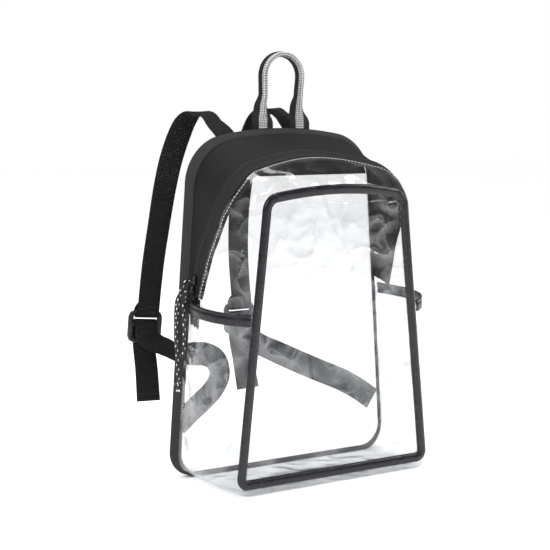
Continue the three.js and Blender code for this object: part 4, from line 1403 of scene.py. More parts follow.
@dataclass
class FrontPocket:
    """Bowed clear pocket with glossy binding on three sides and a bound mouth."""

    form: BodyForm
    base_width: float = 238.0
    shoulder_width: float = 180.0
    height: float = 309.0
    top_corner: float = 20.0
    base_corner: float = 12.0
    binding_width: float = 10.0
    binding_thickness: float = 3.6
    bulge: float = 7.0
    wall: float = 0.6
    band_start: float = 0.008
    folds: float = 1.6
    fold_size: float = 52.0
    panel_steps: tuple[int, int] = (56, 44)
    full_from: float = 0.3
    pucker: float = 0.35
    pucker_size: float = 16.0
    stitch_margin: float = 0.8
    stitch_lift: float = 0.93
    gather: tuple[float, float] = (60.0, 285.0)
    gather_size: tuple[float, float] = (30.0, 22.0)
    stitch: Row = Row(3.2, 2.2, 0.3)

    def outline(self) -> Outline:
        """The pocket's outer edge."""
        floor = self.form.front_lift + self.form.gap * 3
        half = self.base_width / 2, self.shoulder_width / 2
        return Outline(*half, self.height, floor, self.top_corner, self.base_corner)

    @property
    def back_y(self) -> float:
        """Where the binding's back face lies."""
        return self.form.front_y - self.form.gap

    @property
    def binding_end(self) -> float:
        """Where the side binding ends under the mouth's band."""
        return self.form.top_corner_end - 0.03

    def strip(self, name: str, places: list[tuple[int, float]], bowed: bool) -> bpy.types.Object:
        """A glossy tape along places on the pocket's edge."""
        form, outline = self.form, self.outline()
        inner = outline.inset(self.binding_width)
        half = form.on_outline(inner, form.top_corner_end)[0] + self.binding_width
        rows = []
        for side, u in places:
            (x, z), (inner_x, inner_z) = form.on_outline(outline, u), form.on_outline(inner, u)
            forward = max(self.bulge * (1 - ((x + inner_x) / 2 / half) ** 2), 0) if bowed else 0.0
            y = self.back_y - forward
            edge, hem = Vector((side * x, y, z)), Vector((side * inner_x, y, inner_z))
            soft = self.pucker * crumple(edge, self.pucker_size, 4.0)
            rows.append(strip_row(edge, hem, self.binding_thickness, soft))
        return dress(Skin(f"{name}_tape", rows, tube=True, caps=True).build(), GLOSS, name)

    def panel(self) -> bpy.types.Object:
        """The bowed film of the pocket."""
        form = self.form
        clearance = form.gap * 1.5
        shape = self.outline().inset(self.binding_width).inset(clearance)
        rise = form.on_outline(shape, 1)[1] - form.on_outline(shape, form.top_corner_end)[1]
        floor, head = shape.floor, shape.top - rise - clearance
        middle_y = self.back_y - self.binding_thickness / 2
        tall, wide = self.panel_steps
        rows = []
        for t in steps(0, 1, tall):
            z = mix(floor, head, t)
            half = form.half_width(lambda u: form.on_outline(shape, u), z + (0.5 if t == 0 else 0.0))
            full = math.sin(min(t / self.full_from, 1) * math.pi / 2)
            row = []
            for s in steps(-1, 1, wide):
                hold = (1 - s**4) * min(t / 0.08, 1.0) * min((1 - t) / 0.05, 1.0)
                fold = self.wrinkle(s * half, z)
                y = middle_y - full * self.bulge * (1 - s * s) - 0.3 + self.folds * hold * fold
                row.append(Vector((s * half, y, z)))
            rows.append(row)
        piece = Skin("pocket_panel_film", rows, core=Vector((0, FAR, 0))).build()
        return dress(walled(piece, self.wall), FILM, "pocket_panel")

    def wrinkle(self, x: float, z: float) -> float:
        """Depth of the pocket's folds, which gather at the mouth's right end."""
        across, up = ((v - middle) / size for v, middle, size in zip((x, z), self.gather, self.gather_size))
        gather = math.exp(-(across**2) - up**2)
        broad = 0.5 - 0.5 * crumple(Vector((x, 0, z)), self.fold_size, 11.0)
        return broad * 0.8 + gather * (0.5 + 0.5 * math.sin(x / 3.2 + z / 9))

    def seams(self) -> list[bpy.types.Object]:
        """Stitches along both tapes."""
        form, outline = self.form, self.outline()
        middle = outline.inset(self.binding_width * self.stitch_margin)
        half = form.on_outline(outline.inset(self.binding_width), form.top_corner_end)[0] + self.binding_width
        low = form.under_base(self.binding_end)
        high = form.over_top(self.binding_end + self.band_start)
        sewn = []
        for name, places, bowed in (("pocket_binding_stitches", low, 0), ("pocket_mouth_stitches", high, 1)):
            path = []
            for side, u in places:
                x, z = form.on_outline(middle, u)
                forward = max(self.bulge * (1 - (x / half) ** 2), 0) * bowed
                y = self.back_y - forward - self.binding_thickness * self.stitch_lift
                path.append(Vector((side * x, y, z)))
            sewn.append(self.stitch.lay(name, [path], DARK_THREAD))
        return sewn

    def dress_up(self) -> None:
        """Builds and dresses the front pocket."""
        form = self.form
        self.strip("pocket_binding", form.under_base(self.binding_end), False)
        self.strip("pocket_top_band", form.over_top(self.binding_end + self.band_start), True)
        self.panel()
        self.seams()


@dataclass
class SidePocket:
    """Clear side pocket with its bound upper edge."""

    form: BodyForm
    side: int
    height: float = 187.0
    slope: float = 9.0
    bulge: float = 10.0
    band_width: float = 12.0
    band_wall: float = 1.4
    band_crown: float = 0.45
    seam_dent: float = 0.5
    seam_place: float = 0.72
    seam_size: float = 0.07
    folds: float = 0.8
    fold_size: float = 40.0
    depth_steps: int = 44
    height_steps: tuple[int, int] = (34, 10)
    wall: float = 0.6

    @property
    def word(self) -> str:
        """The side's name."""
        return WORDS[self.side > 0]

    @property
    def floor_u(self) -> float:
        """Where the pocket's lower edge lies on the half outline."""
        form = self.form
        return form.base_corner_end - (form.base_corner_end - form.base_end) * 0.4

    @property
    def span(self) -> tuple[float, float]:
        """Shares of the depth where the pocket begins and ends."""
        return self.form.binding_share + self.form.gap_share * 3, 0.985

    def top(self, depth_share: float) -> float:
        """Height of the upper edge."""
        return self.height - self.slope * (depth_share - 0.5)

    def lift(self, depth_share: float, u: float, top_u: float) -> float:
        """How far the pocket stands off the body."""
        back, front = self.span
        wave = max(math.sin(math.pi * (depth_share - back) / (front - back)), 0)
        rise = max((u - self.floor_u) / (top_u - self.floor_u), 0)
        return self.form.gap * 2 + self.bulge * wave * rise**0.8

    def sheet(self, name: str, finish: Finish, thickness: float, band: bool) -> bpy.types.Object:
        """The pocket's film or its band."""
        form, (back, front) = self.form, self.span
        extra = form.film + form.gap + form.cloth if band else form.film
        rows = []
        for depth_share in steps(back, front, self.depth_steps):
            top = self.top(depth_share)
            top_u = form.side_u(top, depth_share)
            low_u = form.side_u(top - self.band_width, depth_share) if band else self.floor_u
            row = []
            for t in steps(0, 1, self.height_steps[band]):
                u = mix(low_u, top_u, t)
                rise = self.lift(depth_share, u, top_u) + extra
                if band:
                    dent = math.exp(-(((t - self.seam_place) / self.seam_size) ** 2))
                    rise += self.band_crown * math.sin(math.pi * t) - self.seam_dent * dent
                else:
                    hold = min(t / 0.1, 1.0) * math.sin(math.pi * (depth_share - back) / (front - back))
                    fold = 0.5 - 0.5 * crumple(form.bare(self.side, u, depth_share), self.fold_size, 7.0)
                    rise -= self.folds * hold * fold
                row.append(form.point(self.side, u, depth_share, rise))
            rows.append(row)
        piece = Skin(f"{name}_{'tape' if band else 'film'}", rows).build()
        return dress(walled(piece, thickness), finish, name)

    def dress_up(self) -> None:
        """Builds and dresses the side pocket."""
        self.sheet(f"side_pocket_{self.word}", FILM, self.wall, False)
        self.sheet(f"side_band_{self.word}", GLOSS, self.band_wall, True)


class Route:
    """A smooth curve through points, as the CAD source's curves run."""

    def __init__(self, points: Sequence[Vector]) -> None:
        """Adds an end point before the first and after the last."""
        head = points[0] * 2 - points[1]
        tail = points[-1] * 2 - points[-2]
        self.points = [head, *points, tail]
        self.last = len(points) - 1

    def at(self, t: float) -> Vector:
        """The point at a share of the rows.

        Args:
            t: from 0 at the first row to 1 at the last.

        Returns:
            The point there.
        """
        place = t * self.last
        i = min(int(place), self.last - 1)
        w = place - i
        p0, p1, p2, p3 = self.points[i : i + 4]
        gaps = [(b - a).length ** 0.5 for a, b in ((p0, p1), (p1, p2), (p2, p3))]
        before, here, after = (g or 1.0 for g in gaps)
        start = (p1 - p0) / before - (p2 - p0) / (before + here) + (p2 - p1) / here
        end = (p2 - p1) / here - (p3 - p1) / (here + after) + (p3 - p2) / after
        start, end = start * here, end * here
        bend = p1 * 2 - p2 * 2 + start + end
        return p1 + start * w + (p2 * 3 - p1 * 3 - start * 2 - end) * w**2 + bend * w**3

    def along(self, t: float, step: float = 0.0005) -> Vector:
        """The direction at a share of the rows."""
        return (self.at(min(t + step, 1)) - self.at(max(t - step, 0))).normalized()


@dataclass
class Turned:
    """A row of a strap: its middle, and how far its width rolls and yaws from the X axis, in degrees."""

    x: float
    y: float
    z: float
    roll: float = 0.0
    yaw: float = 0.0


@dataclass
class Straps:
    """Shoulder straps, lower webbing and ladder-lock buckles of both sides.

    Attributes:
        corner: where the lower webbing starts, across and up, as shares.
        hangs: each buckle's place across and up as shares, and its turn and lean in degrees.
        tail_rows: the tail's shift across and behind, its share downwards, and its turn in degrees.
        upper: each shoulder strap's rows: shares across, behind and up, then roll and yaw in degrees.
        lower: each lower webbing's rows: shares across, behind and up, then roll in degrees.
    """

    form: BodyForm
    width: float = 25.0
    thickness: float = 1.8
    buckle_height: float = 35.0
    buckle_thickness: float = 5.0
    bar: float = 5.0
    grip_rise: float = 2.5
    play: float = 1.5
    reach: float = 62.0
    corner: tuple[float, float] = (1.07, 0.151)
    tail: float = 62.5
    hem: float = 9.0
    hem_bulk: float = 1.9
    root_over: float = 0.03
    root_rows: tuple[float, ...] = (0.12, 0.36)
    box_half: float = 10.0
    box_heights: tuple[float, float] = (8.0, 17.0)
    hem_lines: tuple[float, ...] = (2.5, 7.5)
    hem_stitch_half: float = 10.5
    soft_edge: float = 1.1
    fine: int = 9
    seek_steps: int = 400
    seek_from: int = 300
    rib_heights: tuple[float, ...] = (1.2, 2.5, 3.8)
    rib: Row = Row(1.9, 1.7, 0.38)
    stitch: Row = Row(2.4, 1.7, 0.3)
    hangs: Table = ((-1.122, 0.4176, -5, 5), (-0.12, 0.4176, 0, 0))
    tail_rows: Table = ((2.2, 0.3, 0, 0), (7, -1.5, 0.45, -8), (8.4, -10.5, 1, -20))
    upper: tuple[Table, ...] = (
        (
            (-0.505, 0.05, 0.947, 2, 6), (-0.56, 0.095, 0.982, 6, 12), (-0.635, 0.18, 1.012, 9, 22),
            (-0.67, 0.27, 1.035, 6, 24), (-0.705, 0.41, 1.044, 2, 14), (-0.745, 0.57, 1.04, 0, 4),
            (-0.785, 0.71, 1.017, 0, -8), (-0.825, 0.82, 0.975, 0, -16), (-0.88, 0.92, 0.905, 0, -18),
            (-0.93, 0.98, 0.82, 0, -14), (-0.975, 1.03, 0.72, 0, -8), (-1.03, 1.05, 0.61, 0, -6),
            (-1.078, 1.0, 0.525, -3, -5),
        ),
        (
            (0.49, -0.02, 0.936, 6, 0), (0.43, 0.03, 0.951, 28, 0), (0.335, 0.065, 0.96, 38, 4),
            (0.24, 0.105, 0.974, 34, 8), (0.163, 0.18, 1.005, 20, 20), (0.1, 0.275, 1.036, 8, 24),
            (0.055, 0.41, 1.053, 2, 14), (0.015, 0.57, 1.049, 0, 4), (-0.022, 0.71, 1.024, 0, -8),
            (-0.055, 0.82, 0.98, 0, -12), (-0.09, 0.91, 0.91, 0, -10), (-0.12, 0.97, 0.82, 0, -6),
            (-0.135, 1.02, 0.72, 0, -2), (-0.135, 1.03, 0.61, 0, 0), (-0.125, 1.0, 0.525, 0, 0),
        ),
    )  # fmt: skip
    lower: tuple[Table, ...] = (
        (
            (-0.945, 0.006, 0.1827, -57), (-0.81, 0.03, 0.2115, -55), (-0.675, 0.07, 0.2445, -42),
            (-0.6, 0.125, 0.283, -8), (-0.62, 0.2, 0.3215, 35), (-0.7, 0.287, 0.339, 66),
            (-0.789, 0.368, 0.3407, 68), (-0.846, 0.4645, 0.3407, 42), (-0.915, 0.561, 0.345, 16),
            (-0.956, 0.65, 0.352, 8), (-1.0, 0.725, 0.361, 8), (-1.055, 0.79, 0.37, 6),
        ),
        (
            (0.93, 0.006, 0.183, 57), (0.72, 0.03, 0.2225, 58), (0.5, 0.1, 0.255, 64),
            (0.31, 0.25, 0.285, 66), (0.14, 0.48, 0.315, 52), (0.0, 0.7, 0.342, 30),
            (-0.07, 0.82, 0.368, 10),
        ),
    )  # fmt: skip

    @property
    def yoke_face(self) -> float:
        """Middle of webbing that lies on the yoke."""
        return self.form.panel_y + self.form.gap * 2 + self.thickness / 2

    @property
    def over_binding(self) -> float:
        """Middle of webbing that lies over the binding."""
        return self.form.back_y + self.form.gap + self.thickness / 2

    @property
    def bend(self) -> float:
        """Radius of webbing round a buckle's bar."""
        return math.hypot(self.buckle_thickness, self.bar) / 2 + self.form.gap + self.thickness / 2

    @property
    def half(self) -> float:
        """Half the back's width at the shoulders, which the routes are shares of."""
        return self.form.shoulder_width / 2

    def root(self, number: int) -> float:
        """Where a shoulder strap is sewn to the yoke."""
        return (self.upper[number][0][0] + self.root_over) * self.half

    def frame(self, number: int) -> Matrix:
        """A buckle's own frame: across, behind and up from its middle."""
        across, height, turn, lean = self.hangs[number]
        place = (across * self.half, self.form.back_y + self.reach, height * self.form.height)
        turned = Matrix.Rotation(math.radians(turn), 4, "Z") @ Matrix.Rotation(math.radians(lean), 4, "Y")
        return Matrix.Translation(place) @ turned

    def held(self, number: int, places: Iterable[Sequence[float]]) -> list[Turned]:
        """Rows of a strap given in the buckle's own frame."""
        frame, (_, _, turn, lean) = self.frame(number), self.hangs[number]
        return [Turned(*(frame @ Vector(place)), -lean, turn) for place in places]

    def on_route(self, x: float, y: float, z: float, roll: float, yaw: float, reach: float) -> Turned:
        """A row from its shares of the half width, of the reach behind the back, and of the height."""
        return Turned(x * self.half, self.over_binding + y * reach, z * self.form.height, roll, yaw)

    def round_bar(self, across: float, height: float, start: float, end: float) -> Table:
        """Half a turn round a bar, in the buckle's frame."""
        turns = [math.radians(a) for a in steps(start, end, 4)]
        return tuple((across, self.bend * math.cos(a), height + self.bend * math.sin(a)) for a in turns)

    def upper_rows(self, number: int) -> list[Turned]:
        """Rows of a shoulder strap."""
        form, root = self.form, self.root(number)
        free = self.reach - self.bend
        top = (self.buckle_height - self.bar) / 2
        heights = [form.yoke_floor + t * form.yoke_height for t in self.root_rows]
        rows = [Turned(root, self.yoke_face, height) for height in heights]
        rows += [self.on_route(*row, free) for row in self.upper[number]]
        rows += self.held(number, self.round_bar(self.play / 2, top, 180, 360))
        end = (
            (self.play * 2, self.bend - form.gap * 2, top + self.bar),
            (self.play * 3, self.bend / 2, top + self.bar * 1.6),
        )
        return rows + self.held(number, end)

    def lower_rows(self, number: int) -> list[Turned]:
        """Rows of the lower webbing and its tail."""
        side = (-1, 1)[number]
        route = self.lower[number]
        across, height = self.corner
        rows = [self.on_route(side * across, 0.0, height, route[0][3], 0.0, self.reach)]
        rows += [self.on_route(*row, 0.0, self.reach) for row in route]
        rows += self.held(number, [(0.5, -self.bend - self.form.gap * 6, -self.bar * 2)])
        rows += self.held(number, self.round_bar(0, self.grip_rise, 180, 0))
        for x, y, down, turn in self.tail_rows:
            (row,) = self.held(number, [(x, self.bend + y, -self.buckle_height / 2 - down * self.tail)])
            row.yaw += turn
            rows.append(row)
        return rows

    def stations(self, rows: list[Turned], count: int) -> list[tuple[Vector, Vector, Vector]]:
        """Middle, sideways direction and normal of webbing at even steps through its rows."""
        route = Route([Vector((r.x, r.y, r.z)) for r in rows])
        last = len(rows) - 1
        places = []
        for t in steps(0, 1, count):
            point, tangent = route.at(t), route.along(t)
            i = min(int(t * last), last - 1)
            share = t * last - i
            roll = math.radians(mix(rows[i].roll, rows[i + 1].roll, share))
            yaw = math.radians(mix(rows[i].yaw, rows[i + 1].yaw, share))
            side = Vector((math.cos(yaw) * math.cos(roll), math.sin(yaw), math.sin(roll)))
            side = (side - tangent * side.dot(tangent)).normalized()
            places.append((point, side, tangent.cross(side)))
        return places

    def ribbon(self, node: str, rows: list[Turned], hemmed: bool) -> bpy.types.Object:
        """Webbing with rounded edges through the rows.

        Args:
            node: the CAD node that it stands for.
            rows: its rows.
            hemmed: its last stretch is folded double.

        Returns:
            The dressed piece.
        """
        profile = (
            (-1.0, 0.35), (-0.985, 0.8), (-0.94, 1.0), (-0.5, 1.0), (0.0, 1.0), (0.5, 1.0), (0.94, 1.0),
            (0.985, 0.8), (1.0, 0.35), (1.0, -0.35), (0.985, -0.8), (0.94, -1.0), (0.5, -1.0), (0.0, -1.0),
            (-0.5, -1.0), (-0.94, -1.0), (-0.985, -0.8), (-1.0, -0.35),
        )  # fmt: skip
        places = self.stations(rows, (len(rows) - 1) * self.fine)
        end = places[-1][0]
        sections = []
        for point, side, normal in places:
            doubled = hemmed and (end - point).length < self.hem
            deep = normal * (self.thickness * (self.hem_bulk if doubled else 1.0) / 2)
            wide = side * (self.width / 2)
            sections.append([point + wide * a + deep * n for a, n in profile])
        piece = Skin(f"{node}_webbing", sections, tube=True, caps=True).build()
        return dress(piece, WEBBING, node)

    def buckle(self, number: int) -> bpy.types.Object:
        """Ladder-lock with softened edges and grip ribs."""
        node = f"buckle_{WORDS[number]}"
        mesh = bmesh.new()
        mesh.from_mesh(bpy.data.objects[node].data)
        bmesh.ops.remove_doubles(mesh, verts=mesh.verts, dist=0.00001)
        bmesh.ops.dissolve_limit(mesh, angle_limit=math.radians(1), verts=mesh.verts, edges=mesh.edges)
        piece = as_object(f"{node}_frame", mesh)
        bevel = piece.modifiers.new("soft edges", "BEVEL")
        bevel.width = self.soft_edge * MM
        bevel.segments = 3
        bevel.limit_method = "ANGLE"
        frame = self.frame(number)
        span = self.width / 2 - 2
        foot = -self.buckle_height / 2
        y = -self.buckle_thickness / 2
        ribs = [[frame @ Vector((s * span, y, foot + h)) for s in (-1, 1)] for h in self.rib_heights]
        across = frame.to_3x3() @ Vector((1, 0, 0))
        self.rib.lay(f"{node}_grips", ribs, PLASTIC, [[across] * 2] * len(ribs))
        return dress(piece, PLASTIC, node)

    def seams(self) -> bpy.types.Object:
        """Box and cross stitches where the straps are sewn to the yoke, and across the hems."""
        paths = []
        y = self.yoke_face + self.thickness / 2 + 0.1
        low, high = (self.form.yoke_floor + height for height in self.box_heights)
        corners = ((-1, low), (1, low), (1, high), (-1, high))
        for number in (0, 1):
            a, b, c, d = (Vector((self.root(number) + s * self.box_half, y, z)) for s, z in corners)
            paths += [[a, b], [b, c], [c, d], [d, a], [a, c], [b, d]]
            places = self.stations(self.lower_rows(number), self.seek_steps)[self.seek_from :]
            end = places[-1][0]
            for rise in self.hem_lines:
                point, side, normal = min(places, key=lambda p: abs((p[0] - end).length - rise))
                for face in (-1, 1):
                    line = point + normal * (face * (self.thickness * self.hem_bulk / 2 + 0.1))
                    paths.append([line + side * (s * self.hem_stitch_half) for s in (-1, 1)])
        return self.stitch.lay("strap_stitches", paths, DARK_THREAD)

    def dress_up(self) -> None:
        """Builds and dresses both straps."""
        for number, word in enumerate(WORDS):
            self.ribbon(f"shoulder_strap_{word}", self.upper_rows(number), False)
            self.ribbon(f"lower_strap_{word}", self.lower_rows(number), True)
            self.buckle(number)
        self.seams()


@dataclass
class GrabHandle:
    """Webbing loop, flat on the yoke and folded lengthwise through its arch."""

    form: BodyForm
    straps: Straps
    span: float = 47.0
    rise: float = 78.0
    across: float = 1.5
    lean: tuple[float, float] = (2.0, -4.0)
    seam: float = 28.0
    fold_radius: float = 1.3
    fold_angle: float = math.radians(87.0)
    arch_steps: int = 40
    width_steps: int = 14
    bare_ends: int = 30
    stitch: Row = Row(3.0, 2.1, 0.28)

    def section(self, point: Vector, outward: Vector, fold: float) -> list[Vector]:
        """Section of the webbing, whose halves turn back as it folds.

        Args:
            point: the fold's place.
            outward: away from the loop's middle.
            fold: 0 where it is flat and 1 where it is folded.

        Returns:
            A closed row of points.
        """
        turn = self.fold_angle * fold
        half, thick = self.straps.width / 2, self.straps.thickness / 2
        middle, normals = [], []
        for s in steps(-1, 1, self.width_steps):
            reach = abs(s) * half
            bent = min(self.fold_radius * turn, reach)
            angle = bent / self.fold_radius
            x = self.fold_radius * math.sin(angle) + (reach - bent) * math.cos(angle)
            y = self.fold_radius * (1 - math.cos(angle)) + (reach - bent) * math.sin(angle)
            sign = 1 if s >= 0 else -1
            middle.append(point + outward * (sign * x) + Vector((0, y, 0)))
            normals.append(outward * (sign * math.sin(angle)) + Vector((0, -math.cos(angle), 0)))
        front = [m + n * thick for m, n in zip(middle, normals)]
        behind = [m - n * thick for m, n in zip(middle, normals)]
        return front + behind[::-1]

    def rows(self) -> Rows:
        """Sections from one foot over the arch to the other."""
        form, half = self.form, self.span / 2
        top = form.height + self.rise
        flat = self.straps.yoke_face
        over = self.straps.over_binding + form.gap
        seam = form.yoke_floor + self.seam
        # share of the half span, height, depth, fold and lean
        marks = (
            (1.0, seam, flat, 0.0, 0.0), (1.0, seam + 8, flat, 0.0, 0.0),
            (1.0, form.height - 10, over, 0.0, 0.0), (1.0, form.height + 4, over, 0.0, 0.0),
            (0.98, form.height + 20, over, 0.6, 0.5), (0.96, form.height + 36, over, 1.0, 0.85),
            (1.0, top - half, over, 1.0, 1.0),
        )  # fmt: skip
        leg = []
        for low, high in zip(marks, marks[1:]):
            for t in steps(0, 1, 7)[:-1]:
                ease = t * t * (3 - 2 * t)
                share, y, fold, lean = (mix(low[i], high[i], ease) for i in (0, 2, 3, 4))
                leg.append((share * half, y, mix(low[1], high[1], t), fold, lean))
        leg.append((half, over, top - half, 1.0, 1.0))

        def side_rows(side: int) -> Rows:
            """The leg on one side."""
            rows = []
            for x, y, z, fold, lean in leg:
                place = Vector((self.across + side * x + self.lean[0] * lean, y + self.lean[1] * lean, z))
                rows.append(self.section(place, Vector((side, 0, 0)), fold))
            return rows

        arch = []
        middle = Vector((self.across + self.lean[0], over + self.lean[1], top - half))
        for a in steps(0, math.pi, self.arch_steps)[1:-1]:
            outward = Vector((-math.cos(a), 0, math.sin(a)))
            arch.append(self.section(middle + outward * half, outward, 1.0))
        return [*side_rows(-1), *arch, *side_rows(1)[::-1]]

    def dress_up(self) -> None:
        """Builds and dresses the handle and its stitches."""
        rows = self.rows()
        half = self.straps.width / 2
        spread = [s * half for s in steps(-1, 1, self.width_steps)]
        across = [*spread, *spread[::-1]]
        piece = Skin("grab_handle_webbing", rows, tube=True, caps=True, across=across).build()
        dress(piece, STRIPED, "grab_handle")
        last = self.width_steps * 2 + 1
        paths = []
        for j in (2, self.width_steps - 1):
            stitched = rows[self.bare_ends : -self.bare_ends]
            paths.append([(row[j] + row[j - 1]) * 0.5 + (row[j] - row[last - j]) * 0.1 for row in stitched])
        self.stitch.lay("handle_stitches", paths, DARK_THREAD)


@dataclass
class ZipPulls:
    """Two sliders with their cord pulls, and the folded tab at the end of the zip."""

    form: BodyForm
    diameter: float = 3.0
    slider_length: float = 9.0
    slider_width: float = 8.0
    slider_height: float = 5.0
    slider_crown: Table = (
        (-1, 0.62), (-0.96, 0.72), (-0.8, 0.86), (-0.5, 1), (0, 0.97), (0.5, 1), (0.8, 0.86), (0.96, 0.72),
        (1, 0.62),
    )  # fmt: skip
    slider_places: tuple[float, float] = (0.009, 0.026)
    bail_radius: float = 0.75
    bail_rise: float = 1.1
    tab_height: float = 30.0
    tab_width: float = 19.0
    tab_wall: float = 0.9
    tab_folds: tuple[float, ...] = (0, 3.2, 0.6, 4.2, 1)
    slider_steps: int = 14
    slider_taper: tuple[float, float] = (0.45, 0.25)
    bail_share: float = 0.62
    knot_strand: float = 1.35
    knot_sides: int = 10
    knot_steps: int = 72
    knot_drop: float = 1.9
    fray_count: int = 12
    fray_radius: float = 0.32
    lower_route: Table = (
        (-127.7, 30, 199.5), (-130.5, 31.5, 199), (-133.6, 35, 196), (-135, 39.5, 189), (-135.2, 42, 176),
        (-135.2, 42.5, 160), (-135.2, 42, 144), (-135.2, 39.5, 135.5), (-135.2, 33.5, 131.5),
        (-135.2, 27.5, 134.5), (-135.2, 25, 143), (-135.2, 24.5, 160), (-135.2, 25.5, 176),
        (-134, 27, 187), (-130.5, 28, 193),
    )  # fmt: skip
    upper_route: Table = (
        (-126.6, 27, 210.5), (-130, 26, 210.5), (-134.5, 25, 208), (-138, 25.5, 201), (-139.4, 28, 190),
        (-139.6, 31, 175), (-139.6, 32.5, 158), (-139.6, 32, 140), (-139.4, 31, 124), (-139.2, 30, 108),
    )  # fmt: skip

    def ring(self, middle: Vector, side: Vector, other: Vector, radius: float, sides: int) -> list[Vector]:
        """Points round a middle, from one direction towards another."""
        turns = [2 * math.pi * k / sides for k in range(sides)]
        return [middle + (side * math.cos(a) + other * math.sin(a)) * radius for a in turns]

    def tube(self, path: list[Vector], radius: Callable[[float], float], sides: int = 12) -> Rows:
        """Rings round a path.

        Args:
            path: its points.
            radius: the radius at a share of the path.
            sides: points in a ring.

        Returns:
            The rings.
        """
        rows, up = [], Vector((0, 1, 0.2)).normalized()
        for i, point in enumerate(path):
            tangent = (path[min(i + 1, len(path) - 1)] - path[max(i - 1, 0)]).normalized()
            side = (up - tangent * up.dot(tangent)).normalized()
            other = tangent.cross(side)
            up = side
            rows.append(self.ring(point, side, other, radius(i / (len(path) - 1)), sides))
        return rows

    def cord(self, word: str, route: Sequence[Sequence[float]]) -> tuple[bpy.types.Object, list[Vector]]:
        """A cord pull along its route.

        Args:
            word: lower or upper.
            route: its points in millimetres.

        Returns:
            The dressed piece and the path in millimetres.
        """
        curve = Route([Vector(p) for p in route])
        path = [curve.at(t) for t in steps(0, 1, (len(route) - 1) * 6)]
        rows = self.tube(path, lambda t: self.diameter / 2)
        piece = Skin(f"pull_cord_{word}_braid", rows, tube=True, caps=True).build()
        return dress(piece, CORD, f"pull_cord_{word}"), path

    def knot(self) -> bpy.types.Object:
        """Overhand knot with its frayed tip at the end of the upper cord."""
        end = Vector(self.upper_route[-1])
        tall = self.diameter * self.knot_drop
        middle = end - Vector((0, 0, tall + self.form.gap))
        path = []
        for a in steps(0, 2 * math.pi, self.knot_steps)[:-1]:
            x, y = math.sin(a) + 2 * math.sin(2 * a), math.cos(a) - 2 * math.cos(2 * a)
            path.append(middle + Vector((x * 0.85, -math.sin(3 * a) * 1.3, y * 1.25 + 1.2)))
        rows = []
        for i, point in enumerate(path):
            tangent = (path[(i + 1) % len(path)] - path[i - 1]).normalized()
            side = tangent.cross(Vector((0.3, 1, 0.2))).normalized()
            other = tangent.cross(side)
            rows.append(self.ring(point, side, other, self.knot_strand, self.knot_sides))
        return dress(Skin("pull_knot_braid", rows, ring=True, tube=True).build(), CORD, "pull_knot")

    def frays(self) -> bpy.types.Object:
        """Loose yarn below the knot."""
        end = Vector(self.upper_route[-1]) - Vector((0, 0, self.diameter * 3.4))
        meshes = []
        for k in range(self.fray_count):
            angle = k * 2.4
            spread = 0.5 + 0.8 * ((k * 7) % 5) / 4
            out = Vector((math.cos(angle), math.sin(angle), 0))
            top = end + out * 0.9 + Vector((0, 0, 1.5))
            drift = out * spread - Vector((0, 0, 2.4 + (k % 3) * 0.8))
            path = [top + drift * t + Vector((0.3 * math.sin(4 * t + k), 0, 0)) * t for t in steps(0, 1.6, 8)]
            rows = self.tube(path, lambda t: self.fray_radius * (1 - 0.5 * t), 6)
            meshes.append(Skin(f"fray{k}", rows, tube=True, caps=True).build())
        return dress(joined("pull_knot_frays", meshes), CORD)

    @property
    def per_height(self) -> float:
        """How far a millimetre of height goes along the half outline's side."""
        return self.form.side_u(1, 0.5) - self.form.side_u(0, 0.5)

    def slider(self, word: str, u: float) -> bpy.types.Object:
        """Slider body with a rounded crown and its bail."""
        form = self.form
        half_length = self.slider_length / 2 * self.per_height
        half_width = self.slider_width / 2 / form.depth
        lift = form.coil_rise + form.gap
        middle = form.zip_middle(u)
        lower, narrower = self.slider_taper
        rows = []
        for s in steps(-1, 1, self.slider_steps):
            top = self.slider_height * (1 - lower * s * s)
            half = half_width * (1 - narrower * s * s)
            place = u + s * half_length
            outer = [form.point(-1, place, middle + t * half, (lift + top) * h) for t, h in self.slider_crown]
            inner = [form.point(-1, place, middle + t * half, lift) for t in (1, 0, -1)]
            rows.append(outer + inner)
        body = Skin(f"zip_slider_{word}_body", rows, tube=True, caps=True).build()
        peak = lift + self.slider_height
        bow = []
        for a in steps(0, math.pi, self.slider_steps):
            along = u - math.cos(a) * half_length * self.bail_share
            bow.append(form.point(-1, along, middle, peak - 0.5 + self.bail_rise * math.sin(a)))
        rings = self.tube(bow, lambda t: self.bail_radius, 8)
        dress(Skin(f"zip_slider_{word}_bail", rings, tube=True, caps=True).build(), METAL)
        return dress(body, METAL, f"zip_slider_{word}")

    def tab(self) -> bpy.types.Object:
        """Folded glossy cloth under the end of the zip, seen through the film."""
        form = self.form
        drop = self.tab_height * self.per_height
        middle = form.zip_middle(form.zip_start)
        rows = []
        for t in steps(0, 1, 18):
            u = form.zip_start - 0.004 - t * drop
            half = self.tab_width / 2 / form.depth * (1 - 0.35 * t * t)
            row = []
            for s in steps(0, 4, 24):
                i = min(int(s), 3)
                ease = (s - i) ** 2 * (3 - 2 * (s - i))
                fold = mix(*self.tab_folds[i : i + 2], ease) * (0.3 + 0.7 * t)
                depth_share = middle + half * (s / 2 - 1)
                ruffle = 0.35 * crumple(Vector((s * 4, 0, t * 30)), 9, 13.0)
                inward = form.film + form.gap * 2 + fold + 0.35 + ruffle
                row.append(form.point(-1, u, depth_share, -inward))
            rows.append(row)
        piece = Skin("zip_end_tab_cloth", rows).build()
        return dress(walled(piece, self.tab_wall), GLOSS, "zip_end_tab")

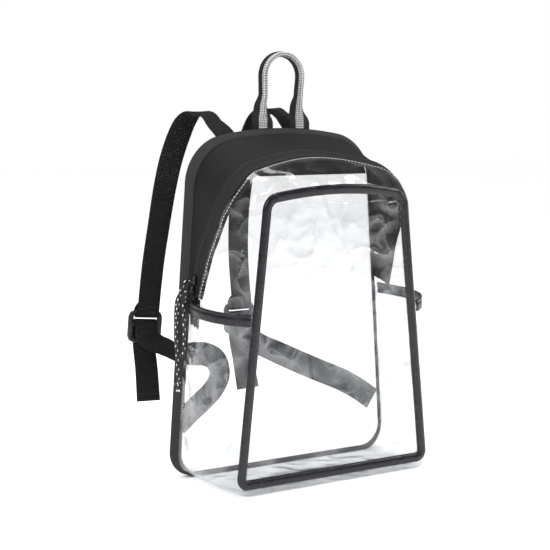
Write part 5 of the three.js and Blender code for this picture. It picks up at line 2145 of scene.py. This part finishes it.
    def dress_up(self) -> None:
        """Builds and dresses the pulls, and logs each cord's length."""
        lower, lower_path = self.cord("lower", self.lower_route)
        upper, upper_path = self.cord("upper", self.upper_route)
        knot, frays = self.knot(), self.frays()
        for piece, path, far_end, others in (
            (lower, lower_path, "object", []),
            (upper, upper_path, "knot", [knot, frays]),
        ):
            length = sum((b - a).length for a, b in zip(path, path[1:]))
            tuple(path[0] * MM)
            [tuple(p * MM) for p in path]
            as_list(others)
            LOG.info("%s is %.1f mm long", piece.name, length)
        for word, place in zip(("lower", "upper"), self.slider_places):
            self.slider(word, self.form.zip_start + place)
        self.tab()


def joined(name: str, pieces: list[bpy.types.Object]) -> bpy.types.Object:
    """One piece from several.

    Args:
        name: its name.
        pieces: plain pieces, removed here.

    Returns:
        The new piece.
    """
    mesh = bmesh.new()
    for piece in pieces:
        mesh.from_mesh(piece.data)
        bpy.data.objects.remove(piece)
    return as_object(name, mesh)


@dataclass(frozen=True)
class Lamp:
    """A soft panel of light: its place and size in metres, and its power in watts."""

    name: str
    place: tuple[float, float, float]
    size: tuple[float, float]
    power: float

    def hang(self, aim: Vector) -> None:
        """Hangs the lamp, facing a point."""
        data = bpy.data.lights.new(self.name, "AREA")
        data.shape, data.energy = "RECTANGLE", self.power
        data.size, data.size_y = self.size
        lamp = bpy.data.objects.new(self.name, data)
        lamp.location = self.place
        lamp.rotation_euler = (aim - Vector(self.place)).to_track_quat("-Z", "Y").to_euler()
        bpy.context.scene.collection.objects.link(lamp)


@dataclass
class Studio:
    """Camera at the photograph's angle, pale floor and soft lights."""

    place: Vector = Vector((-0.8283, -1.2035, 0.3847))
    yaw: float = math.radians(-33.2)
    pitch: float = math.radians(6.8)
    roll: float = math.radians(0.18)
    lens: float = 91.6
    sensor: float = 36.0
    floor_size: float = 14.0
    floor_shades: tuple[float, float] = (0.985, 0.995)
    mirrored: float = 0.2
    film_layers: int = 40
    aim: Vector = Vector((0, 0, 0.2))
    lamps: tuple[Lamp, ...] = (
        Lamp("key", (-1.3, -0.9, 1.5), (0.5, 1.2), 22),
        Lamp("side", (1.5, -0.6, 1.1), (0.4, 1.4), 14),
        Lamp("top", (0.1, 0.3, 1.9), (1.0, 0.8), 12),
    )

    def camera(self) -> None:
        """Sets the camera."""
        data = bpy.data.cameras.new("camera")
        data.lens, data.sensor_width = self.lens, self.sensor
        data.clip_start, data.clip_end = 0.05, 60.0
        holder = bpy.data.objects.new("camera", data)
        flat = math.cos(self.pitch)
        back = Vector((math.sin(self.yaw) * flat, -math.cos(self.yaw) * flat, math.sin(self.pitch)))
        right = Vector((math.cos(self.yaw), math.sin(self.yaw), 0))
        up = back.cross(right)
        across = right * math.cos(self.roll) + up * math.sin(self.roll)
        upward = up * math.cos(self.roll) - right * math.sin(self.roll)
        turned = Matrix((across, upward, back)).transposed().to_4x4()
        holder.matrix_world = Matrix.Translation(self.place) @ turned
        bpy.context.scene.collection.objects.link(holder)
        bpy.context.scene.camera = holder

    def floor(self) -> None:
        """A pale floor with a faint mottle."""
        half = self.floor_size / 2
        corners = [(x * half, y * half, 0) for x, y in ((-1, -1), (1, -1), (1, 1), (-1, 1))]
        data = bpy.data.meshes.new("floor")
        data.from_pydata(corners, [], [(0, 1, 2, 3)])
        recipe = Recipe("pale floor")
        mottle = recipe.grain(3.0)
        colour = recipe.blend(mottle, *((shade,) * 3 for shade in self.floor_shades))
        shader = recipe.surface(Base_Color=colour, Roughness=mottle * 0.1 + 0.9, Specular_IOR_Level=0.0)
        data.materials.append(recipe.done(shader))
        slab = bpy.data.objects.new("floor", data)
        bpy.context.scene.collection.objects.link(slab)
        slab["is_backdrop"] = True

    def world(self) -> None:
        """A bright even surround."""
        world = bpy.data.worlds.new("surround")
        world.use_nodes = True
        tree = world.node_tree
        path = tree.nodes.new("ShaderNodeLightPath")
        dimmed = tree.nodes.new("ShaderNodeMapRange")
        dimmed.inputs["To Min"].default_value = 1.0
        dimmed.inputs["To Max"].default_value = self.mirrored
        background = tree.nodes["Background"]
        background.inputs["Color"].default_value = (1.0, 1.0, 1.0, 1.0)
        tree.links.new(path.outputs["Is Glossy Ray"], dimmed.inputs["Value"])
        tree.links.new(dimmed.outputs["Result"], background.inputs["Strength"])
        world.cycles.sampling_method = "NONE"
        scene = bpy.context.scene
        scene.world = world
        scene.view_settings.view_transform = "Standard"
        scene.cycles.transparent_max_bounces = self.film_layers

    def set_up(self) -> None:
        """Sets the studio."""
        self.camera()
        self.floor()
        self.world()
        for lamp in self.lamps:
            lamp.hang(self.aim)


def main() -> None:
    """Builds every sub-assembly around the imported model."""
    logging.basicConfig(level=logging.INFO, format="%(message)s")
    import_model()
    form = BodyForm()
    straps = Straps(form)
    Studio().set_up()
    assemblies = (
        ZipPulls(form),
        Back(form),
        TopAndZip(form),
        ClearShell(form),
        FrontPocket(form),
        SidePocket(form, -1),
        SidePocket(form, 1),
        straps,
        GrabHandle(form, straps),
    )
    for assembly in assemblies:
        before = len(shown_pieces())
        assembly.dress_up()
        LOG.info("%s: %d pieces shown, %d before", type(assembly).__name__, len(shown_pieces()), before)


if __name__ == "__main__":
    main()
